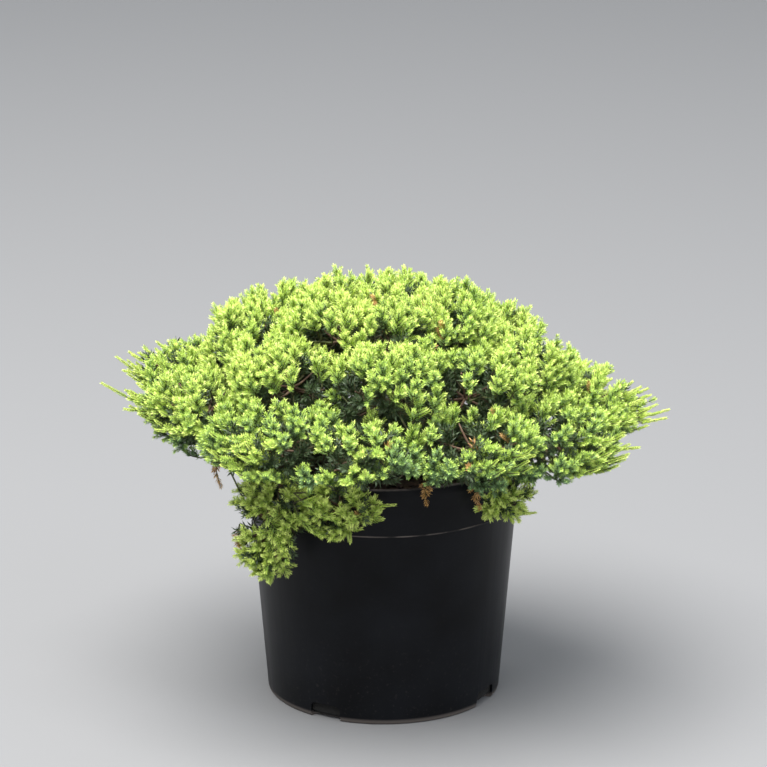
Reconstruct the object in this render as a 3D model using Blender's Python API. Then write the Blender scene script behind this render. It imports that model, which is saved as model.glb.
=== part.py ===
# Potted nana Japanese garden juniper: a low spreading conifer in a black nursery container.
# Metres, +Z up, the front of the plant faces -Y. The origin is the middle of the container's underside.

import math
import random

import bmesh
import bpy
from mathutils import Vector

# Driving sizes of the container
POT_HEIGHT = 0.2747
BASE_RADIUS = 0.128
SHOULDER_RADIUS = 0.1462
SHOULDER_HEIGHT = 0.2197
RIM_RADIUS = 0.1525
COLLAR_DROP = 0.028
LIP_DROP = 0.011
LIP_THICKNESS = 0.003
FOOT_ROUND = 0.004
WALL = 0.0024
POT_SIDES = 48
DRAIN_NOTCHES = 4
DRAIN_FIRST = -29.5
DRAIN_WIDTH = 0.036
DRAIN_HEIGHT = 0.0175
DRAIN_DEPTH = 0.012

# Driving sizes of the short hidden trunk, which stands on the potting mix
CLEAR = 0.0003
MIX_TOP = POT_HEIGHT - 0.029
TRUNK_FOOT = MIX_TOP + CLEAR
TRUNK_TOP = 0.366
TRUNK_RADIUS = 0.0125
TRUNK_TIP_RADIUS = 0.0055
TRUNK_LEAN = (0.012, 0.006)
TRUNK_RISES = (0.0, 0.05, 0.11, 0.18, 0.30, 0.45, 0.62, 0.80, 1.0)
TRUNK_SIDES = 12
FLARE = 0.007
FLARE_HEIGHT = 0.022

# The crown: rings of foliage masses, each carried on its own bough or on the trunk.
# A mass is an egg whose half sizes run outward, sideways and up, tilted up by some degrees.
LOW_RING = {"count": 11, "first": 4.0, "radius": 0.195, "height": 0.325, "tilt": 4.0,
            "half": (0.088, 0.078, 0.047), "sprays": 10, "leaders": 2, "seed": 351}
MID_RING = {"count": 8, "first": -92.0, "radius": 0.124, "height": 0.366, "tilt": 22.0,
            "half": (0.082, 0.072, 0.055), "sprays": 9, "leaders": 0, "seed": 23}
UPPER_RING = {"count": 5, "first": -70.0, "radius": 0.058, "height": 0.402, "tilt": 42.0,
              "half": (0.064, 0.062, 0.050), "sprays": 7, "leaders": 0, "seed": 31}
TOP = {"height": 0.424, "half": (0.044, 0.044, 0.034), "sprays": 6, "seed": 41}
# Boughs that hang over the rim: azimuth at the trunk and at the rim, distance out, height of the
# middle, half sizes, sprays
DROOPS = (
    (-140.0, -128.0, 0.190, 0.236, (0.034, 0.054, 0.068), 11),
    (-95.0, -104.0, 0.186, 0.266, (0.030, 0.048, 0.036), 7),
    (-43.0, -43.0, 0.182, 0.266, (0.026, 0.034, 0.034), 6),
    (75.0, 75.0, 0.186, 0.256, (0.030, 0.052, 0.044), 7),
)
DROOP_SEED = 50
# The crown is wider across than it is deep, and is carried higher on its left and its front.
SIDE_REACH = 0.012
SIDE_TILT = 7.0
LEFT_LIFT = 0.010
BACK_DROP = 0.010
# How squarely an egg fills its half sizes (2 is a true ellipsoid), and the share its core takes
FULLNESS = 2.6
CORE_SHARE = 0.80
SEAM = 0.0012
OVER_RIM = 0.006
OFF_WALL = 0.003

# The limb of each kind of mass: heights on the trunk, rise at the start, radii, bare length of stem
LIMBS = {
    "low": {"heights": (0.271, 0.281, 0.291), "rise": 0.30, "radii": (0.0046, 0.0028), "stem": 0.012},
    "mid": {"heights": (0.305, 0.317), "rise": 0.60, "radii": (0.0042, 0.0026), "stem": 0.010},
    "upper": {"heights": (0.338, 0.350), "rise": 1.20, "radii": (0.0034, 0.0024), "stem": 0.0},
    "droop": {"heights": (0.260,), "rise": 0.30, "radii": (0.0044, 0.0026), "stem": 0.006},
}
LIMB_STEPS = 5
LIMB_SIDES = 5
STEM_SIDES = 4
DROOP_ROOT = (0.018, 0.012)

# Sprigs: twigs that end in whorls of needles, drawn larger than life
POLES = {"low": (0.7, 0.0, 1.0), "mid": (0.4, 0.0, 1.0), "upper": (0.2, 0.0, 1.0),
         "top": (0.0, 0.0, 1.0), "droop": (1.0, 0.0, -0.35)}
COVERAGE = 1.62
GOLDEN_ANGLE = math.pi * (3.0 - math.sqrt(5.0))
SPRIG_WIDTH = 0.0085
SPRIG_ROOT = 0.50
SHORTEST_SPRIG = 0.62
LEADER_STRETCH = 1.13
LEADER_SPREAD = 0.62
LEADER_WIDTH = 0.0064
SHORT_SHOOT = (0.010, 0.018)
MERGE = 0.000005
FINE_MERGE = 0.000001

MATERIALS = {
    "satin_black_plastic": ((0.012, 0.013, 0.015), 0.42),
    "bark_mix": ((0.075, 0.047, 0.030), 0.95),
    "juniper_bark": ((0.190, 0.110, 0.070), 0.85),
    "juniper_needles": ((0.250, 0.430, 0.070), 0.60),
}


def clear_scene():
    for thing in list(bpy.data.objects):
        bpy.data.objects.remove(thing, do_unlink=True)


def make_material(name):
    colour, roughness = MATERIALS[name]
    material = bpy.data.materials.get(name) or bpy.data.materials.new(name)
    material.use_nodes = True
    shader = material.node_tree.nodes["Principled BSDF"]
    shader.inputs["Base Color"].default_value = (*colour, 1.0)
    shader.inputs["Roughness"].default_value = roughness
    shader.inputs["Metallic"].default_value = 0.0
    return material


def add_object(name, builder, material=None, collection=None):
    mesh = bpy.data.meshes.new(name)
    builder.normal_update()
    builder.to_mesh(mesh)
    builder.free()
    thing = bpy.data.objects.new(name, mesh)
    (collection or bpy.context.scene.collection).objects.link(thing)
    if material:
        mesh.materials.append(make_material(material))
    return thing


def level_way(turn):
    """The level unit vector at an angle round the upright axis."""
    return Vector((math.cos(turn), math.sin(turn), 0.0))


def close_rings(builder, rings):
    """Faces between rings of corners, lowest ring first, and a flat cap at both ends."""
    for lower, upper in zip(rings, rings[1:]):
        for k in range(len(lower)):
            after = (k + 1) % len(lower)
            builder.faces.new((lower[k], lower[after], upper[after], upper[k]))
    builder.faces.new(list(reversed(rings[0])))
    builder.faces.new(rings[-1])


def turned(name, profile, material):
    """A closed body turned from a profile that starts and ends on the axis, bottom first."""
    builder = bmesh.new()
    rings = []
    for radius, height in profile[1:-1]:
        turns = [2.0 * math.pi * i / POT_SIDES for i in range(POT_SIDES)]
        rings.append([builder.verts.new(level_way(turn) * radius + Vector((0.0, 0.0, height)))
                      for turn in turns])
    bottom = builder.verts.new((0.0, 0.0, profile[0][1]))
    top = builder.verts.new((0.0, 0.0, profile[-1][1]))
    for i in range(POT_SIDES):
        after = (i + 1) % POT_SIDES
        builder.faces.new((bottom, rings[0][after], rings[0][i]))
        builder.faces.new((rings[-1][i], rings[-1][after], top))
        for lower, upper in zip(rings, rings[1:]):
            builder.faces.new((lower[i], lower[after], upper[after], upper[i]))
    bmesh.ops.recalc_face_normals(builder, faces=builder.faces)
    thing = add_object(name, builder, material)
    thing.data.shade_smooth()
    thing.data.set_sharp_from_angle(angle=math.radians(35.0))
    return thing


def add_drain_notch(pot, turn, number):
    """Cuts an arched notch through the foot of the wall and the edge of the floor."""
    below = 0.002
    height = DRAIN_HEIGHT + below
    builder = bmesh.new()
    bmesh.ops.create_cube(builder, size=1.0)
    bmesh.ops.scale(builder, vec=(DRAIN_DEPTH * 2.0, DRAIN_WIDTH, height), verts=builder.verts)
    upper_edges = [edge for edge in builder.edges
                   if all(corner.co.z > 0.0 for corner in edge.verts)
                   and edge.verts[0].co.y * edge.verts[1].co.y > 0.0]
    bmesh.ops.bevel(builder, geom=upper_edges, offset=0.005, segments=2, affect="EDGES", profile=0.5)
    cutter = add_object(f"drain_cutter_{number}", builder)
    cutter.location = level_way(turn) * BASE_RADIUS + Vector((0.0, 0.0, height / 2.0 - below))
    cutter.rotation_euler = (0.0, 0.0, turn)
    cutter.hide_render = True
    cutter.display_type = "WIRE"
    cut = pot.modifiers.new(f"drain_notch_{number}", "BOOLEAN")
    cut.operation = "DIFFERENCE"
    cut.object = cutter


def make_pot():
    collar = POT_HEIGHT - COLLAR_DROP
    lip = POT_HEIGHT - LIP_DROP
    step = 0.0006
    edge = 0.0015
    profile = [
        (0.0, 0.0),
        (BASE_RADIUS - FOOT_ROUND, 0.0),
        (BASE_RADIUS, FOOT_ROUND),
        (SHOULDER_RADIUS - step, SHOULDER_HEIGHT - step),
        (SHOULDER_RADIUS, SHOULDER_HEIGHT),
        (SHOULDER_RADIUS + step, collar),
        (RIM_RADIUS - step, lip),
        (RIM_RADIUS, lip + LIP_THICKNESS),
        (RIM_RADIUS, POT_HEIGHT - edge),
        (RIM_RADIUS - edge, POT_HEIGHT),
        (RIM_RADIUS - LIP_THICKNESS, POT_HEIGHT),
        (RIM_RADIUS - LIP_THICKNESS - step, POT_HEIGHT - edge),
        (RIM_RADIUS - step - WALL, lip),
        (SHOULDER_RADIUS + step - WALL, collar),
        (BASE_RADIUS - WALL, WALL + FOOT_ROUND),
        (BASE_RADIUS - WALL - FOOT_ROUND, WALL),
        (0.0, WALL),
    ]
    pot = turned("pot", profile, "satin_black_plastic")
    for i in range(DRAIN_NOTCHES):
        add_drain_notch(pot, math.radians(DRAIN_FIRST + 360.0 / DRAIN_NOTCHES * i), i + 1)


def make_potting_mix():
    floor = WALL + CLEAR
    gap = WALL + 2.0 * CLEAR
    round_off = 0.002
    profile = [
        (0.0, floor),
        (BASE_RADIUS - gap - FOOT_ROUND, floor),
        (BASE_RADIUS - gap, floor + FOOT_ROUND),
        (SHOULDER_RADIUS - gap, MIX_TOP - round_off),
        (SHOULDER_RADIUS - gap - round_off, MIX_TOP),
        (0.0, MIX_TOP),
    ]
    turned("potting_mix", profile, "bark_mix")


def trunk_axis(height):
    """The middle of the leaning trunk at a height."""
    share = (height - TRUNK_FOOT) / (TRUNK_TOP - TRUNK_FOOT)
    bend = share * share * (3.0 - 2.0 * share)
    return Vector((TRUNK_LEAN[0] * bend, TRUNK_LEAN[1] * share, height))


def trunk_radius(height, turn):
    """The trunk's radius at a height and an angle: a taper, and root ridges that flare at the foot."""
    share = (height - TRUNK_FOOT) / (TRUNK_TOP - TRUNK_FOOT)
    flare = FLARE * max(0.0, 1.0 - (height - TRUNK_FOOT) / FLARE_HEIGHT) ** 2
    ridge = 1.0 + 0.35 * math.sin(4.0 * turn + 0.6)
    return TRUNK_RADIUS + (TRUNK_TIP_RADIUS - TRUNK_RADIUS) * share + flare * ridge


def trunk_face(height, turn, thick):
    """How far out from the trunk's axis a flat cap of that half size clears the bark."""
    middle = trunk_axis(height)
    reaches = []
    for lift in (-1.06, -0.5, 0.0, 0.5, 1.06):
        level = max(height + lift * thick, TRUNK_FOOT)
        for aside in (-0.32, -0.16, 0.0, 0.16, 0.32):
            bark = trunk_axis(level) + level_way(turn + aside) * trunk_radius(level, turn + aside)
            reaches.append((bark - middle).dot(level_way(turn)))
    return max(reaches)


def make_trunk():
    builder = bmesh.new()
    rings = []
    for rise in TRUNK_RISES:
        height = TRUNK_FOOT + (TRUNK_TOP - TRUNK_FOOT) * rise
        turns = [2.0 * math.pi * k / TRUNK_SIDES for k in range(TRUNK_SIDES)]
        rings.append([builder.verts.new(trunk_axis(height) + level_way(turn) * trunk_radius(height, turn))
                      for turn in turns])
    close_rings(builder, rings)
    add_object("trunk", builder, "juniper_bark")


class Mass:
    """The space that one foliage mass keeps to: an egg, cut flat where a neighbour begins."""

    def __init__(self, kind, order, middle, azimuth, tilt, half, sprays, leaders, seed):
        rise = math.radians(tilt)
        self.kind = kind
        self.order = order
        self.name = f"{kind}_{order + 1:02d}"
        self.turn = math.radians(azimuth)
        self.start_turn = self.turn
        self.middle = middle
        self.half = half
        self.sprays = sprays
        self.leaders = leaders
        self.seed = seed
        self.outward = level_way(self.turn) * math.cos(rise) + Vector((0.0, 0.0, math.sin(rise)))
        self.sideways = Vector((-math.sin(self.turn), math.cos(self.turn), 0.0))
        self.upward = self.outward.cross(self.sideways).normalized()
        self.walls = []

    def point(self, direction, share):
        """The place at a share of the way to the egg's surface, along one of its own directions."""
        share = share / sum(abs(value) ** FULLNESS for value in direction) ** (1.0 / FULLNESS)
        return self.middle + (self.outward * (direction.x * self.half[0])
                              + self.sideways * (direction.y * self.half[1])
                              + self.upward * (direction.z * self.half[2])) * share

    def reach_towards(self, way):
        """How far the egg reaches from its middle along a world direction."""
        parts = (way.dot(self.outward) / self.half[0], way.dot(self.sideways) / self.half[1],
                 way.dot(self.upward) / self.half[2])
        return 1.0 / sum(abs(value) ** FULLNESS for value in parts) ** (1.0 / FULLNESS)

    def add_wall(self, way, distance):
        """A flat wall square to a direction, at a distance from the middle."""
        self.walls.append((way, way.dot(self.middle) + distance))

    def holds(self, place):
        return all(way.dot(place) <= limit for way, limit in self.walls)

    def drawn_in(self, place, margin):
        """The place, drawn in towards the middle until it clears the walls, and how far it was."""
        share = 1.0
        step = place - self.middle
        for way, limit in self.walls:
            rise = way.dot(step)
            room = max(limit - margin - way.dot(self.middle), 0.0)
            if rise > room:
                share = min(share, room / rise)
        return self.middle + step * share, share


def ring_of_masses(kind, ring):
    """The masses of one ring, evenly round the trunk with a small seeded change in each."""
    draw = random.Random(ring["seed"])
    spread = ring["radius"] / LOW_RING["radius"]
    masses = []
    for i in range(ring["count"]):
        azimuth = ring["first"] + 360.0 / ring["count"] * i + draw.uniform(-4.0, 4.0)
        turn = math.radians(azimuth)
        right, back = math.cos(turn), max(0.0, math.sin(turn))
        radius = ring["radius"] + SIDE_REACH * spread * abs(right) ** 1.5 + draw.uniform(-0.005, 0.005)
        lift = -spread * (LEFT_LIFT * right + BACK_DROP * back) + draw.uniform(-0.005, 0.005)
        tilt = ring["tilt"] - SIDE_TILT * spread * right + draw.uniform(-4.0, 4.0)
        size = draw.uniform(0.95, 1.05)
        middle = level_way(turn) * radius + Vector((0.0, 0.0, ring["height"] + lift))
        masses.append(Mass(kind, i, middle, azimuth, tilt, tuple(value * size for value in ring["half"]),
                           ring["sprays"], ring["leaders"], ring["seed"] * 100 + i))
    return masses


def plan_masses():
    """Every mass of the crown, with walls against the pot and against its neighbours."""
    ringed = [*ring_of_masses("low", LOW_RING), *ring_of_masses("mid", MID_RING),
              *ring_of_masses("upper", UPPER_RING)]
    for mass in ringed:
        mass.add_wall(Vector((0.0, 0.0, -1.0)), mass.middle.z - POT_HEIGHT - OVER_RIM)
    droops = []
    for i, (start, azimuth, radius, height, half, sprays) in enumerate(DROOPS):
        way_out = level_way(math.radians(azimuth))
        mass = Mass("droop", i, way_out * radius + Vector((0.0, 0.0, height)), azimuth, 0.0,
                    half, sprays, 0, DROOP_SEED * 100 + i)
        mass.start_turn = math.radians(start)
        mass.add_wall(-way_out, radius - RIM_RADIUS - OFF_WALL)
        droops.append(mass)
    middle = trunk_axis(TRUNK_TOP)
    middle.z = TOP["height"]
    top = Mass("top", 0, middle, 0.0, 0.0, TOP["half"], TOP["sprays"], 0, TOP["seed"] * 100)
    masses = [*ringed, top, *droops]
    for mass in masses:
        for other in masses:
            if other is not mass:
                way = (other.middle - mass.middle).normalized()
                own = mass.reach_towards(way)
                share = own / (own + other.reach_towards(way))
                mass.add_wall(way, (other.middle - mass.middle).length * share - SEAM)
    return masses


def across(direction):
    """Two unit vectors square to a direction, the first one level."""
    level = direction.cross(Vector((0.0, 0.0, 1.0)))
    if level.length < 0.05:
        level = direction.cross(Vector((1.0, 0.0, 0.0)))
    level.normalize()
    return level, direction.cross(level).normalized()


def tube(builder, path, radii, sides, first_way=None, last_way=None):
    """A closed tapering tube along a path. Its end caps may lie square to ways of their own."""
    rings = []
    last = len(path) - 1
    for i, point in enumerate(path):
        ahead = (path[min(i + 1, last)] - path[max(i - 1, 0)]).normalized()
        square = first_way if i == 0 else last_way if i == last else None
        level, upright = across(ahead)
        ring = []
        for k in range(sides):
            turn = 2.0 * math.pi * k / sides
            place = point + (level * math.cos(turn) + upright * math.sin(turn)) * radii[i]
            if square:
                place = place - ahead * ((place - point).dot(square) / ahead.dot(square))
            ring.append(builder.verts.new(place))
        rings.append(ring)
    close_rings(builder, rings)


def mass_root(mass):
    """Where the stem enters a mass, and the way it is heading there."""
    if mass.kind == "droop":
        outside, above = DROOP_ROOT
        root = level_way(mass.turn) * (RIM_RADIUS + outside) + Vector((0.0, 0.0, POT_HEIGHT + above))
        return root, (level_way(mass.turn) - Vector((0.0, 0.0, 0.10))).normalized()
    if mass.kind == "top":
        return mass.middle - mass.upward * (mass.half[2] * 0.70), mass.upward
    root = mass.middle - mass.outward * (mass.half[0] * 0.86) - mass.upward * (mass.half[2] * 0.30)
    return root, (mass.middle - root).normalized()


def bezier(handles, fraction):
    a, b, c, d = handles
    rest = 1.0 - fraction
    return (a * rest ** 3 + b * (3.0 * rest * rest * fraction)
            + c * (3.0 * rest * fraction * fraction) + d * fraction ** 3)


def plan_limb(mass):
    """The limb that carries a mass: its path from the bark, its radii and the ways of its end caps."""
    root, arrival = mass_root(mass)
    if mass.kind == "top":
        start = trunk_axis(TRUNK_TOP) + Vector((0.0, 0.0, CLEAR))
        return [start, root], [TRUNK_TIP_RADIUS * 0.9, TRUNK_TIP_RADIUS * 0.8], arrival, arrival
    kind = LIMBS[mass.kind]
    base, tip = kind["radii"]
    end = root - arrival * kind["stem"]
    height = kind["heights"][mass.order % len(kind["heights"])]
    way_out = level_way(mass.start_turn)
    start = trunk_axis(height) + way_out * (trunk_face(height, mass.start_turn, base) + CLEAR)
    departure = (way_out + Vector((0.0, 0.0, kind["rise"]))).normalized()
    length = (end - start).length
    handles = (start, start + departure * (length * 0.38), end - arrival * (length * 0.34), end)
    shares = [i / LIMB_STEPS for i in range(LIMB_STEPS + 1)]
    radii = [base + (tip - base) * share ** 0.8 for share in shares]
    return [bezier(handles, share) for share in shares], radii, way_out, arrival


def wall_off(mass, route, radii):
    """Flat walls that keep a mass off a limb that passes near its egg."""
    spacing = 0.004
    near = 1.15
    least = 0.002
    for i in range(len(route) - 1):
        thick = max(radii[i], radii[i + 1])
        steps = max(2, int((route[i + 1] - route[i]).length / spacing))
        for k in range(steps + 1):
            way = route[i].lerp(route[i + 1], k / steps) - mass.middle
            distance = way.length
            way.normalize()
            if distance < mass.reach_towards(way) * near + thick:
                mass.add_wall(way, max(distance - thick - SEAM, least))


def has_bough(mass):
    """Upper and top masses grow straight from the trunk. The others have a bough of their own."""
    return mass.kind not in ("upper", "top")


def clear_of_limbs(mass, limbs):
    """Walls against the trunk, every bough, and the bare stems of the other masses."""
    heights = [TRUNK_FOOT + (TRUNK_TOP - TRUNK_FOOT) * rise for rise in TRUNK_RISES]
    wall_off(mass, [trunk_axis(height) for height in heights],
             [trunk_radius(height, mass.turn) for height in heights])
    for owner, (path, radii, _, _) in limbs.items():
        if owner is not mass:
            wall_off(mass, [*path, mass_root(owner)[0]], [*radii, radii[-1]])
        elif has_bough(mass):
            wall_off(mass, path, radii)


def spray_directions(mass):
    """Even directions over the upper and outer part of a mass, each with its own stretch."""
    draw = random.Random(mass.seed)
    pole = Vector(POLES[mass.kind]).normalized()
    level, upright = across(pole)
    directions = []
    for i in range(mass.sprays):
        drop = 1.0 - COVERAGE * (i + 0.5) / mass.sprays
        ring = math.sqrt(max(0.0, 1.0 - drop * drop))
        turn = i * GOLDEN_ANGLE + draw.uniform(-0.25, 0.25)
        direction = pole * drop + level * (ring * math.cos(turn)) + upright * (ring * math.sin(turn))
        directions.append((direction, draw.uniform(0.96, 1.08)))
    return directions


def plan_sprigs(mass):
    """The tip, width, whorls and turn of each sprig and of each long leader of a mass."""
    draw = random.Random(mass.seed + 3)
    plans = []
    for direction, stretch in spray_directions(mass):
        turn = draw.uniform(0.0, math.pi)
        width = SPRIG_WIDTH * draw.uniform(0.85, 1.15)
        tip, share = mass.drawn_in(mass.point(direction, stretch), 0.001)
        if share >= SHORTEST_SPRIG:
            plans.append((tip, width, 1, turn))
    for i in range(mass.leaders):
        side = (i - (mass.leaders - 1) / 2.0) * LEADER_SPREAD + draw.uniform(-0.1, 0.1)
        direction = Vector((1.0, side, draw.uniform(0.0, 0.35))).normalized()
        stretch = LEADER_STRETCH * draw.uniform(0.95, 1.05)
        tip, share = mass.drawn_in(mass.point(direction, stretch), 0.001)
        plans.append((tip, LEADER_WIDTH, 2, draw.uniform(0.0, math.pi)))
    return plans


def sprig(builder, mass, tip, width, whorls, turn):
    """A three-sided twig, sunk in the core, with whorls of forward needles. False if it has no room."""
    foot = mass.middle.lerp(tip, SPRIG_ROOT)
    axis = (tip - foot).normalized()
    length = (tip - foot).length
    level, upright = across(axis)
    third = 2.0 * math.pi / 3.0
    first_whorl, last_whorl = 0.50, 0.88
    needle = 0.26

    def corner(along, reach, angle):
        return foot + axis * (length * along) + (level * math.cos(angle) + upright * math.sin(angle)) * reach

    necks = []
    teeth = []
    for whorl in range(whorls):
        along = first_whorl + (last_whorl - first_whorl) * whorl / whorls
        size = width * (1.0 - 0.35 * whorl)
        twist = turn + whorl * third / 2.0
        necks.append([corner(along, size * 0.55, twist + third * k) for k in range(3)])
        teeth.append([corner(along + needle / whorls, size, twist + third * (k + 0.5)) for k in range(3)])
    if not all(mass.holds(place) for place in [tip, *sum(necks + teeth, [])]):
        return False
    bottom = builder.verts.new(foot)
    top = builder.verts.new(tip)
    necks = [[builder.verts.new(place) for place in ring] for ring in necks]
    teeth = [[builder.verts.new(place) for place in ring] for ring in teeth]
    for k in range(3):
        after = (k + 1) % 3
        builder.faces.new((bottom, necks[0][after], necks[0][k]))
        for lower, upper, points in zip(necks, necks[1:], teeth):
            builder.faces.new((lower[k], lower[after], points[k]))
            builder.faces.new((lower[k], points[k], upper[k]))
            builder.faces.new((points[k], lower[after], upper[k]))
            builder.faces.new((upper[k], lower[after], upper[after]))
        builder.faces.new((necks[-1][k], necks[-1][after], teeth[-1][k]))
        builder.faces.new((necks[-1][after], top, teeth[-1][k]))
        builder.faces.new((top, necks[-1][k], teeth[-1][k]))
    return True


def make_core(mass, tips):
    """The dense inner part of a mass: a lumpy egg whose faces rise into short shoots."""
    draw = random.Random(mass.seed + 7)
    builder = bmesh.new()
    bmesh.ops.create_icosphere(builder, subdivisions=2, radius=1.0)
    for corner in builder.verts:
        place = mass.point(corner.co.normalized(), CORE_SHARE * draw.uniform(0.84, 1.10))
        corner.co = mass.drawn_in(place, 0.003)[0]
    builder.normal_update()

    def outlook(face):
        return (face.calc_center_median() - mass.middle).normalized()

    leafy = [face for face in builder.faces
             if face.normal.dot(mass.upward) > -0.25 or face.normal.dot(mass.outward) > 0.5]
    for tip in tips:
        way = (tip - mass.middle).normalized()
        under_sprig = max(builder.faces, key=lambda face: outlook(face).dot(way))
        if under_sprig in leafy:
            leafy.remove(under_sprig)
    for corner in bmesh.ops.poke(builder, faces=leafy)["verts"]:
        way = ((corner.co - mass.middle).normalized() + Vector((0.0, 0.0, 0.45))).normalized()
        place = corner.co + way * draw.uniform(*SHORT_SHOOT)
        if not mass.holds(place):
            place = mass.drawn_in(corner.co.lerp(place, 0.3), 0.0005)[0]
        corner.co = place
    return builder


def keep_largest_piece(thing, merge):
    """Cleans a fused mesh and drops its loose scraps. True if what is left is closed."""
    builder = bmesh.new()
    builder.from_mesh(thing.data)
    bmesh.ops.remove_doubles(builder, verts=builder.verts, dist=merge)
    bmesh.ops.dissolve_degenerate(builder, edges=builder.edges, dist=merge)
    bmesh.ops.triangulate(builder, faces=builder.faces)
    left = set(builder.verts)
    pieces = []
    while left:
        piece = [left.pop()]
        for corner in piece:
            for edge in corner.link_edges:
                other = edge.other_vert(corner)
                if other in left:
                    left.discard(other)
                    piece.append(other)
        pieces.append(piece)
    pieces.sort(key=len)
    bmesh.ops.delete(builder, geom=sum(pieces[:-1], []), context="VERTS")
    closed = all(len(edge.link_faces) == 2 for edge in builder.edges)
    builder.to_mesh(thing.data)
    builder.free()
    return closed


def fuse(core, group):
    """Joins a core and the sprigs of a collection into one closed mesh, then clears the collection."""
    plain = core.data
    for solver, merge in (("EXACT", MERGE), ("MANIFOLD", MERGE), ("EXACT", FINE_MERGE),
                          ("MANIFOLD", FINE_MERGE)):
        core.data = plain
        union = core.modifiers.new("sprigs", "BOOLEAN")
        union.operation = "UNION"
        union.operand_type = "COLLECTION"
        union.collection = group
        union.solver = solver
        graph = bpy.context.evaluated_depsgraph_get()
        fused = bpy.data.meshes.new_from_object(core.evaluated_get(graph))
        core.modifiers.clear()
        core.data = fused
        if keep_largest_piece(core, merge):
            break
    for thing in list(group.objects):
        bpy.data.objects.remove(thing, do_unlink=True)
    bpy.data.collections.remove(group)


def make_mass(mass, limb):
    """One node: the core of a mass with its stem and its sprigs fused on."""
    path, radii, first_way, arrival = limb
    plans = plan_sprigs(mass)
    core = add_object(f"foliage_{mass.name}", make_core(mass, [plan[0] for plan in plans]),
                      "juniper_needles")
    group = bpy.data.collections.new(f"sprigs_{mass.name}")
    bpy.context.scene.collection.children.link(group)
    stem = bmesh.new()
    if has_bough(mass):
        start = path[-1] + arrival * CLEAR
        tube(stem, [start, mass.middle], [radii[-1], radii[-1] * 0.6], STEM_SIDES, arrival)
    else:
        tube(stem, [*path, mass.middle], [*radii, radii[-1] * 0.7], STEM_SIDES, first_way)
    add_object(f"stem_{mass.name}", stem, collection=group)
    for number, (tip, width, whorls, turn) in enumerate(plans):
        for size in (1.0, 0.7):
            builder = bmesh.new()
            if sprig(builder, mass, tip, width * size, whorls, turn):
                add_object(f"sprig_{mass.name}_{number}", builder, collection=group)
                break
            builder.free()
    fuse(core, group)


def make_bough(mass, limb):
    path, radii, first_way, arrival = limb
    builder = bmesh.new()
    tube(builder, path, radii, LIMB_SIDES, first_way, arrival)
    add_object(f"bough_{mass.name}", builder, "juniper_bark")


def main():
    clear_scene()
    make_pot()
    make_potting_mix()
    make_trunk()
    masses = plan_masses()
    limbs = {mass: plan_limb(mass) for mass in masses}
    for mass in masses:
        clear_of_limbs(mass, limbs)
    for mass in masses:
        if has_bough(mass):
            make_bough(mass, limbs[mass])
        make_mass(mass, limbs[mass])


main()
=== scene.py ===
# A potted nana Japanese garden juniper: a low, dense, spreading conifer in a black nursery container.
# Metres, +Z up, the front of the plant faces -Y, the origin is the middle of the container's underside.
import math
import random

import bpy
import numpy as np
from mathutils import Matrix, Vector, noise


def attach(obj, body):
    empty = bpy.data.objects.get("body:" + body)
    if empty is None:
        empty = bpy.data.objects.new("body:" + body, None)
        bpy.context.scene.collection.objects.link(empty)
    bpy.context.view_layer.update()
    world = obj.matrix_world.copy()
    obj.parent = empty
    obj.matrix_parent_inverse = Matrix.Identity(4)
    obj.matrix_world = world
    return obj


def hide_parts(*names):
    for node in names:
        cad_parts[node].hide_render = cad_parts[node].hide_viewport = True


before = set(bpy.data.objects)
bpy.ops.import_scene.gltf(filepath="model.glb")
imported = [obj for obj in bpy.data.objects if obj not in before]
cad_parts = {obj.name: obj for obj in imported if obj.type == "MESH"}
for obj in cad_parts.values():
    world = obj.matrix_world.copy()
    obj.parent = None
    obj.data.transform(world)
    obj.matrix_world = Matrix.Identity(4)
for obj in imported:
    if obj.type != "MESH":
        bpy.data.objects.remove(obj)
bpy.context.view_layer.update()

# Camera, floor and lights.
# The camera stands where the photograph's did, and the light is that of a bright overcast day.
camera_data = bpy.data.cameras.new("camera")
camera_data.sensor_width = 36.0
camera_data.lens = 3468.0 / 767.0 * camera_data.sensor_width
camera = bpy.data.objects.new("camera", camera_data)
camera.location = (0.0, -3.605, 1.415)
camera.rotation_euler = (math.radians(90.0 - 16.519), 0.0, 0.0)
bpy.context.scene.collection.objects.link(camera)
bpy.context.scene.camera = camera

bpy.ops.object.select_all(action="DESELECT")
bpy.ops.mesh.primitive_plane_add(size=16.0, location=(0.0, 3.0, 0.0))
floor = bpy.context.object
floor.name = "floor"
floor_paint = bpy.data.materials.new("pale_floor")
floor_paint.use_nodes = True
floor_paint.node_tree.nodes["Principled BSDF"].inputs["Base Color"].default_value = (0.19, 0.19, 0.195, 1.0)
floor_paint.node_tree.nodes["Principled BSDF"].inputs["Roughness"].default_value = 0.8
floor.data.materials.append(floor_paint)

sky = bpy.data.worlds.new("overcast_sky")
sky.use_nodes = True
sky.node_tree.nodes["Background"].inputs["Color"].default_value = (0.90, 0.95, 1.0, 1.0)
sky.node_tree.nodes["Background"].inputs["Strength"].default_value = 0.88
bpy.context.scene.world = sky
bpy.context.scene.view_settings.view_transform = "Standard"


def add_soft_light(name, place, size, power, colour):
    """A large square light that faces the middle of the plant."""
    lamp = bpy.data.lights.new(name, "AREA")
    lamp.size = size
    lamp.energy = power
    lamp.color = colour
    holder = bpy.data.objects.new(name, lamp)
    holder.location = place
    holder.rotation_euler = (Vector((0.0, 0.0, 0.3)) - Vector(place)).to_track_quat("-Z", "Y").to_euler()
    bpy.context.scene.collection.objects.link(holder)


add_soft_light("overhead_light", (-0.9, -1.0, 5.0), 4.6, 780.0, (1.0, 0.99, 0.96))
add_soft_light("side_light", (2.8, -1.2, 1.8), 1.4, 26.0, (0.86, 0.92, 1.0))


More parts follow.
